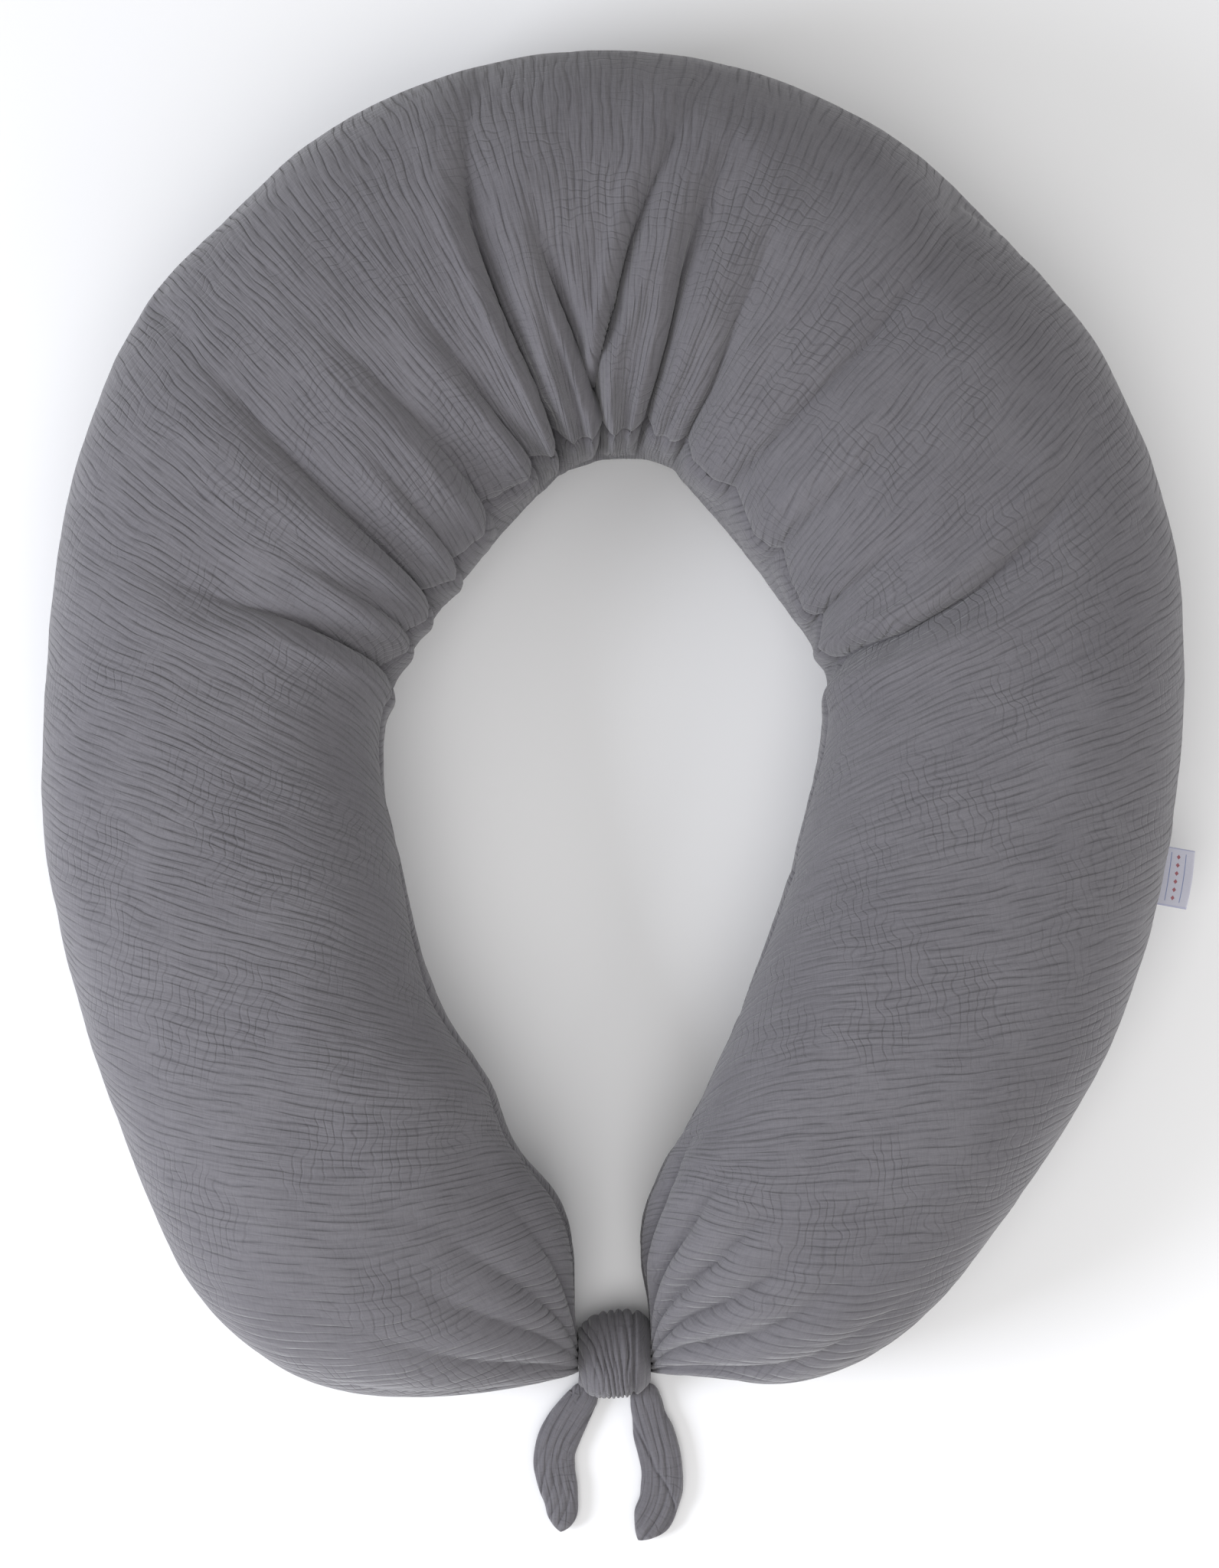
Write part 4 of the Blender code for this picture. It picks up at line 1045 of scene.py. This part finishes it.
def tail_grid(side):
    length = TAIL_LENGTHS[side]
    rows = np.array(TAIL_TABLES[side], float) * (length, length, TAIL_HALF)
    down = np.linspace(-TAIL_ROOT, length, TAIL_ALONG)
    _, shift, half = smooth_curve(rows[:, 0], rows)(np.maximum(down, 0)).T
    half = np.where(down < 0, np.sqrt(np.maximum(TAIL_ROOT**2 - down**2, 1e-9)), half)
    round_off = np.clip((length - down) / 0.004, 0, 1)
    half = half * np.sqrt(1 - (1 - round_off) ** 2) + 0.3 * MM
    uneven = hills(down / 0.011, 0 * down + (side == "left"), 45)
    half = half * (1 + 0.07 * np.clip(down / 0.01, 0, 1) * uneven)
    lean = np.arctan2(np.gradient(shift), np.gradient(down))
    turns = np.linspace(0, 2 * math.pi, TAIL_AROUND, endpoint=False)[None, :]
    thin = np.minimum(1.0, 0.45 + half / TAIL_HALF)[:, None] * np.clip(round_off[:, None], 0.3, 1)
    across = half[:, None] * power(np.cos(turns), 2 / ROUNDNESS)
    rise = thin * power(np.sin(turns), 2 / ROUNDNESS)
    height = tail_relief(side, down[:, None], across) * np.clip(np.sin(turns) * 2, 0, 1)
    height = height * np.clip(half / 0.006, 0, 1)[:, None]
    up = TAIL_FLOOR_GAP + TAIL_THICKNESS / 2 * (1 + rise) + height * 0.9
    x = shift[:, None] + across * np.cos(lean)[:, None]
    y = -down[:, None] + across * np.sin(lean)[:, None]
    root = np.array(joint_named(side + "_tail_swing")["pos_m"], float)
    shade = np.clip(-height / (2.4 * MM), 0, 0.45)
    flat = np.stack([across / MM, (down[:, None] + 0 * across) / MM, shade], -1)
    return np.stack([root[0] + x, root[1] + y, up], -1), flat


tails = {}
for side in ("left", "right"):
    points, flat = tail_grid(side)
    points, flat = capped(points), capped(flat)
    tail = grid_mesh(side + "_tail_strip", points[::-1], {"grain": flat[::-1]}, closed=True, weld=True)
    tail.data.materials.append(MUSLIN)
    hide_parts(side + "_tie_tail")
    tails[side] = tail
    print(tail.name, [round(v * 1000, 1) for v in tail.dimensions], "mm")

# %% [markdown]
# ## The side label
# A satin ribbon is folded double and its two ends are sewn into the seam. It shows a shiny warp, two
# woven edges and a small printed pattern. A row of lozenges between thin lines stands in for the print
# here. The ribbon is one strip bent through a half turn, and then given its thickness.

# %% The ribbon loop
LABEL_WIDTH, LABEL_REACH, RIBBON_LOOP, RIBBON_ROOT = 0.037, 0.026, 1.2 * MM, 0.6 * MM
RIBBON_THICKNESS = 0.4 * MM


def ribbon_path():
    """Out and up along the strip, from the seam over the fold and back."""
    half = RIBBON_LOOP / 2
    out = np.linspace(0, LABEL_REACH - half, 22)
    opening = RIBBON_ROOT / 2 + (half - RIBBON_ROOT / 2) * out / out[-1]
    bend = np.linspace(math.pi / 2, -math.pi / 2, 11)[1:-1]
    there = np.column_stack([out, opening])
    fold = np.column_stack([out[-1] + half * np.cos(bend), half * np.sin(bend)])
    return np.concatenate([there, fold, there[::-1] * (1, -1)])


def label_grid():
    axis = joint_named("label_fold")
    root, along = np.array(axis["pos_m"], float), np.array(axis["axis"], float)
    outward = np.array([-along[1], along[0], 0.0])
    path = ribbon_path()
    normal = np.gradient(path, axis=0) @ np.array([[0, -1], [1, 0]])
    normal /= np.linalg.norm(normal, axis=1, keepdims=True)
    skins = [path + side * RIBBON_THICKNESS / 2 * normal for side in (-1, 1)]
    outline = np.concatenate([skins[0], skins[1][::-1]])
    steps = np.linalg.norm(np.diff(path, axis=0), axis=1)
    run = np.concatenate([[0], np.cumsum(steps)])
    run = np.concatenate([run, run[::-1]])
    edge = np.linspace(-LABEL_WIDTH / 2, LABEL_WIDTH / 2, 56)[:, None]
    curve = 1 - 0.035 * (2 * edge / LABEL_WIDTH) ** 2
    out = outline[None, :, 0] * curve
    wave = 0.5 * MM * np.sin(edge / 0.0068 + 0.6) * (out / LABEL_REACH) ** 2
    up = outline[None, :, 1] + wave
    points = root + along * edge[..., None] + outward * out[..., None]
    points = points + np.array([0, 0, 1.0]) * up[..., None]
    flat = np.stack([edge + 0 * out, run[None, :] + 0 * out, 0 * out], -1) / MM
    return points, flat, run.max()


label_points, label_flat, ribbon_run = label_grid()
label_ends = [(ring + ring[:, ::-1]) / 2 for ring in (label_points[:1], label_points[-1:])]
label_points = np.concatenate([label_ends[0], label_points, label_ends[1]])
label_flat = np.concatenate([label_flat[:1], label_flat, label_flat[-1:]])
label = grid_mesh("ribbon_label", label_points, {"grain": label_flat}, closed=True, weld=True)


RIBBON_FOLD, MOTIF_FROM_FOLD, LOZENGE_PITCH = 26.0, 10.0, 5.2  # millimetres along, and across the ribbon


def satin_finish():
    """Pale satin with fine warp threads, woven edges, and lozenges between two thin lines."""
    gloss = {"Roughness": 0.38, "Sheen_Weight": 0.2, "Specular_IOR_Level": 0.55}
    finish, shader, start = new_finish("pale_satin", **gloss)
    grain = start.add("Attribute", {"attribute_name": "grain"}, output=1)
    p, q, _ = grain.parts()
    warp = start.joined(p * 5.0, q * 0.25).noise(1.0, 1.0)
    weft = start.joined(p * 0.3, q * 4.0).noise(1.0, 1.0)
    ground = warp.blend((0.50, 0.50, 0.585), (0.60, 0.60, 0.68))
    from_motif = abs(abs(q - RIBBON_FOLD) - MOTIF_FROM_FOLD)
    beat = abs(start.sum_node("FRACT", p * (1 / LOZENGE_PITCH) + 50.0) - 0.5)
    lozenge = 1.0 - (beat * (LOZENGE_PITCH * 0.8) + from_motif).between(1.1, 1.4)
    line = 1.0 - abs(from_motif - 4.6).between(0.18, 0.34)
    inside = 1.0 - abs(p).between(15.2, 15.6)
    printed = (lozenge * inside).blend(ground, (0.33, 0.10, 0.12))
    lined = (line * inside).blend(printed, (0.20, 0.24, 0.42))
    rim = abs(p).between(17.4, 17.9)
    colour = rim.blend(lined, (0.44, 0.45, 0.60))
    height = warp * 0.6 + weft * 0.3 + rim * 0.5
    connect(shader, start, Base_Color=colour, Normal=bumped(start, height, 0.00015, 0.7))
    return finish


label.data.materials.append(satin_finish())
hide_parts("side_label")
print(label.name, "strip of", round(ribbon_run * 1000, 1), "mm")

# %% [markdown]
# ## The zip
# A coil zip is two spirals of nylon wire, each sewn to a woven tape. Drawn as plain rods they look like
# piping, so the wire is swept here round every turn. The sweep is cheap: the section has six sides, and
# a turn has twelve steps.

# %% Axes on the outer seam
zip_row = rows_at(np.array([CROWN_MIDDLE]))
zip_across, zip_up = (float(v[0, 0]) for v in profile(zip_row, np.array([[OUTER_SEAM]])))
beside = [profile(zip_row, np.array([[OUTER_SEAM + d]])) for d in (-0.002, 0.002)]
zip_tangent = np.array([float(beside[1][i][0, 0] - beside[0][i][0, 0]) for i in (0, 1)])
zip_tangent /= np.linalg.norm(zip_tangent)
zip_normal = np.array([zip_tangent[1], -zip_tangent[0]])


def at_zip(angle, across, out):
    """Points at angles round the crown, up across the seam and out from the cover's face."""
    radius = SPINE_RADIUS + zip_across + across * zip_tangent[0] + out * zip_normal[0]
    up = zip_up + across * zip_tangent[1] + out * zip_normal[1]
    x, y = CROWN[0] + radius * np.sin(angle), CROWN[1] + radius * np.cos(angle)
    return np.stack([x, y, up + 0 * angle], -1)


# %% Sweeping a wire
def swept(paths, radius, sides):
    """Points and faces of round wires along paths, all in one mesh, with closed ends."""
    points, faces = [], []
    ring_turns = np.arange(sides) * 2 * math.pi / sides
    for path in paths:
        ahead = np.gradient(path, axis=0)
        ahead /= np.maximum(np.linalg.norm(ahead, axis=1, keepdims=True), 1e-12)
        side = np.cross(ahead, [0.31, 0.17, 0.94])
        side /= np.linalg.norm(side, axis=1, keepdims=True)
        third = np.cross(ahead, side)
        ring = np.cos(ring_turns)[:, None] * side[:, None] + np.sin(ring_turns)[:, None] * third[:, None]
        rings = path[:, None] + radius * ring
        base = sum(len(p) for p in points)
        points.append(rings.reshape(-1, 3))
        count = len(path)
        for i in range(count - 1):
            for j in range(sides):
                k, here, there = (j + 1) % sides, base + i * sides, base + (i + 1) * sides
                faces.append([here + j, here + k, there + k, there + j])
        faces.append([base + j for j in reversed(range(sides))])
        faces.append([base + (count - 1) * sides + j for j in range(sides)])
    return np.concatenate(points), faces


def wire_mesh(name, paths, radius, sides=6):
    points, faces = swept(paths, radius, sides)
    mesh = bpy.data.meshes.new(name)
    mesh.from_pydata(points.tolist(), [], faces)
    mesh.shade_smooth()
    return placed(name, mesh)


# %% The two coils
COIL_PITCH, WIRE = 1.4 * MM, 0.3 * MM
COIL_HEAD, COIL_BACK = 0.5 * MM, 3.1 * MM  # across, from the middle of the seam
COIL_SINK, COIL_DEPTH = 1.4 * MM, 1.6 * MM


def coil(name, side):
    """One spiral of the zip, flattened, with its heads at the middle of the seam."""
    turns = int(2 * ZIP_HALF_ANGLE * RING_RADIUS / COIL_PITCH)
    t = np.linspace(0, turns, turns * 12 + 1) + (0.5 if side < 0 else 0.0)
    angle = -ZIP_HALF_ANGLE + (t + 0.02) / (turns + 0.6) * 2 * ZIP_HALF_ANGLE
    reach = (COIL_BACK - COIL_HEAD) / 2 - WIRE
    across = side * ((COIL_HEAD + COIL_BACK) / 2 + reach * power(np.cos(2 * math.pi * t), 0.8))
    out = COIL_DEPTH / 2 - COIL_SINK + (COIL_DEPTH / 2 - WIRE) * power(np.sin(2 * math.pi * t), 0.8)
    return wire_mesh(name, [at_zip(angle, across, out)], WIRE)


coils = {"zip_coil_upper": coil("upper_coil_spiral", 1), "zip_coil_lower": coil("lower_coil_spiral", -1)}
NYLON = plain_finish(
    "grey_nylon", (0.125, 0.125, 0.135), (0.165, 0.165, 0.175), 400.0, 0.00005, Roughness=0.38
)
for node, obj in coils.items():
    obj.data.materials.append(NYLON)
    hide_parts(node)
    print(obj.name, len(obj.data.polygons), "faces")


# %% Tapes and metal
def tape_finish():
    """Grey woven tape: a fine twill."""
    finish, shader, start = new_finish("grey_tape", Roughness=0.85, Sheen_Weight=0.15)
    where = start.add("TexCoord", None, output=3) * 1000.0
    x, y, z = where.parts()
    twill = ((x + y * 0.6 + z) * 7.0).wave() * 0.5 + 0.5
    blur = (where * 0.2).noise(1.0, 2.0)
    colour = (twill * 0.6 + blur * 0.4).blend((0.13, 0.13, 0.145), (0.20, 0.20, 0.22))
    connect(shader, start, Base_Color=colour, Normal=bumped(start, twill, 0.0002, 0.6))
    return finish


TAPE = tape_finish()
METAL = plain_finish(
    "grey_metal", (0.30, 0.30, 0.315), (0.40, 0.40, 0.42), 260.0, 0.00006, Roughness=0.36, Metallic=1.0
)
FINISH_OF = {"zip_tape_upper": TAPE, "zip_tape_lower": TAPE}
FINISH_OF.update({node: METAL for node in ("zip_start_stop", "zip_end_stop", "zip_slider", "zip_pull")})
for node, finish in FINISH_OF.items():
    mesh = frame["nodes"][node].data
    mesh.materials.clear()
    mesh.materials.append(finish)
print("painted:", ", ".join(FINISH_OF))

# %% [markdown]
# ## Topstitching along the zip
# Each edge of the window is sewn down with a row of stitches. A stitch is a short arched thread that
# sinks into the cloth at both ends, and it is real geometry because it catches the light by itself.

# %% Stitches
STITCH_PITCH, STITCH_HALF, STITCH_RADIUS = 3.4 * MM, 1.25 * MM, 0.24 * MM
STITCH_SHARE = 1.3  # columns of the panel from its edge


def edge_line(face, normals, from_end):
    """A line on a panel's face beside the zip's window."""
    inside = np.abs(fine_skin.rows[:, 2]) < ZIP_HALF_ANGLE
    column, part = int(STITCH_SHARE), STITCH_SHARE % 1
    columns = (-1 - column, -2 - column) if from_end else (column, column + 1)
    line = face[inside, columns[0]] * (1 - part) + face[inside, columns[1]] * part
    return line, normals[inside, columns[0]]


def stitch_paths(face, normals, from_end):
    line, out = edge_line(face, normals, from_end)
    run = np.concatenate([[0], np.cumsum(np.linalg.norm(np.diff(line, axis=0), axis=1))])
    paths = []
    for middle in np.arange(STITCH_PITCH, run[-1] - STITCH_PITCH, STITCH_PITCH):
        places = middle + STITCH_HALF * np.linspace(-1, 1, 6)
        lift = (0.30 - 0.62 * np.abs(np.linspace(-1, 1, 6)) ** 3) * MM
        spots = np.column_stack([np.interp(places, run, line[:, i]) for i in range(3)])
        away = np.column_stack([np.interp(places, run, out[:, i]) for i in range(3)])
        paths.append(spots + lift[:, None] * away)
    return paths


zip_stitches = wire_mesh(
    "zip_stitches",
    stitch_paths(top_face, top_normals, False) + stitch_paths(bottom_face, bottom_normals, True),
    STITCH_RADIUS,
    sides=5,
)
THREAD = plain_finish(
    "grey_thread", (0.15, 0.148, 0.16), (0.22, 0.215, 0.23), 1500.0, 0.0001, Roughness=0.7
)
zip_stitches.data.materials.append(THREAD)
print(zip_stitches.name, len(zip_stitches.data.polygons), "faces")

# %% [markdown]
# ## What moves with what
# Each piece rides on one body of the model, so that it follows that body's joint. The tails swing at the
# knot and the label folds at the seam. Everything else is one body.

# %% Rides
for obj in (top_panel, bottom_panel, case_top, case_bottom, fibre, knot, zip_stitches, *coils.values()):
    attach(obj, "pillow")
for side, tail in tails.items():
    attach(tail, side + "_tail")
    length = TAIL_LENGTHS[side]
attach(label, "label")

# %% [markdown]
# ## The room
# The pillow lies on a pale floor under big soft lights. Most light comes from the left and from
# above, and a weaker one fills the right side, so folds read on both sides without hard shadows.

# %% Floor
def floor_finish():
    finish, shader, start = new_finish("pale_floor", Roughness=0.9, Specular_IOR_Level=0.1)
    where = start.add("NewGeometry", None, output=0)
    shade = (where * 3.0).noise(1.0, 1.0).between(0.2, 0.8)
    connect(shader, start, Base_Color=shade.blend((0.93, 0.93, 0.935), (0.95, 0.95, 0.955)))
    return finish


floor_mesh = bpy.data.meshes.new("floor")
floor_mesh.from_pydata([(-6, -6, 0), (6, -6, 0), (6, 6, 0), (-6, 6, 0)], [], [(0, 1, 2, 3)])
floor_mesh.materials.append(floor_finish())
floor = placed("floor", floor_mesh)
floor.location.z = -0.5 * MM  # just below the pillow's base, so that the two don't flicker
print(floor.name, "at", round(floor.location.z * 1000, 2), "mm")


# %% Lights
def soft_light(name, place, size, watts, colour, target=(0, 0, 0.08)):
    """A square area light that looks at the pillow."""
    data = bpy.data.lights.new(name, "AREA")
    data.size = size
    data.energy = watts
    data.color = colour
    obj = placed(name, data)
    obj.location = place
    obj.rotation_euler = (Vector(target) - Vector(place)).to_track_quat("-Z", "Y").to_euler()


soft_light("key_light", (-2.0, -0.7, 1.2), 1.0, 43, (0.95, 0.98, 1.06))
soft_light("top_light", (-0.2, -1.4, 2.6), 2.0, 33, (1.0, 0.99, 0.985))
soft_light("fill_light", (1.9, -0.6, 1.3), 1.6, 13, (1.0, 0.985, 0.97))
world = bpy.data.worlds.new("room")
world.use_nodes = True
world.node_tree.nodes["Background"].inputs["Color"].default_value = (1.0, 1.0, 1.0, 1.0)
world.node_tree.nodes["Background"].inputs["Strength"].default_value = 0.45
bpy.context.scene.world = world
bpy.context.scene.view_settings.view_transform = "Standard"

# %% Camera
CAMERA_DISTANCE = 2.4
CAMERA_TILT = math.radians(10)
AIM = Vector((-0.0088, -0.0040, 0.084))
camera_data = bpy.data.cameras.new("camera")
camera_data.sensor_fit = "VERTICAL"
camera_data.sensor_height = 36.0
camera_data.lens = 89.8
camera = placed("camera", camera_data)
camera.location = AIM + CAMERA_DISTANCE * Vector((0, -math.sin(CAMERA_TILT), math.cos(CAMERA_TILT)))
camera.rotation_euler = (CAMERA_TILT, 0, 0)
bpy.context.scene.camera = camera
print("camera looks down from", [round(v, 3) for v in camera.location])
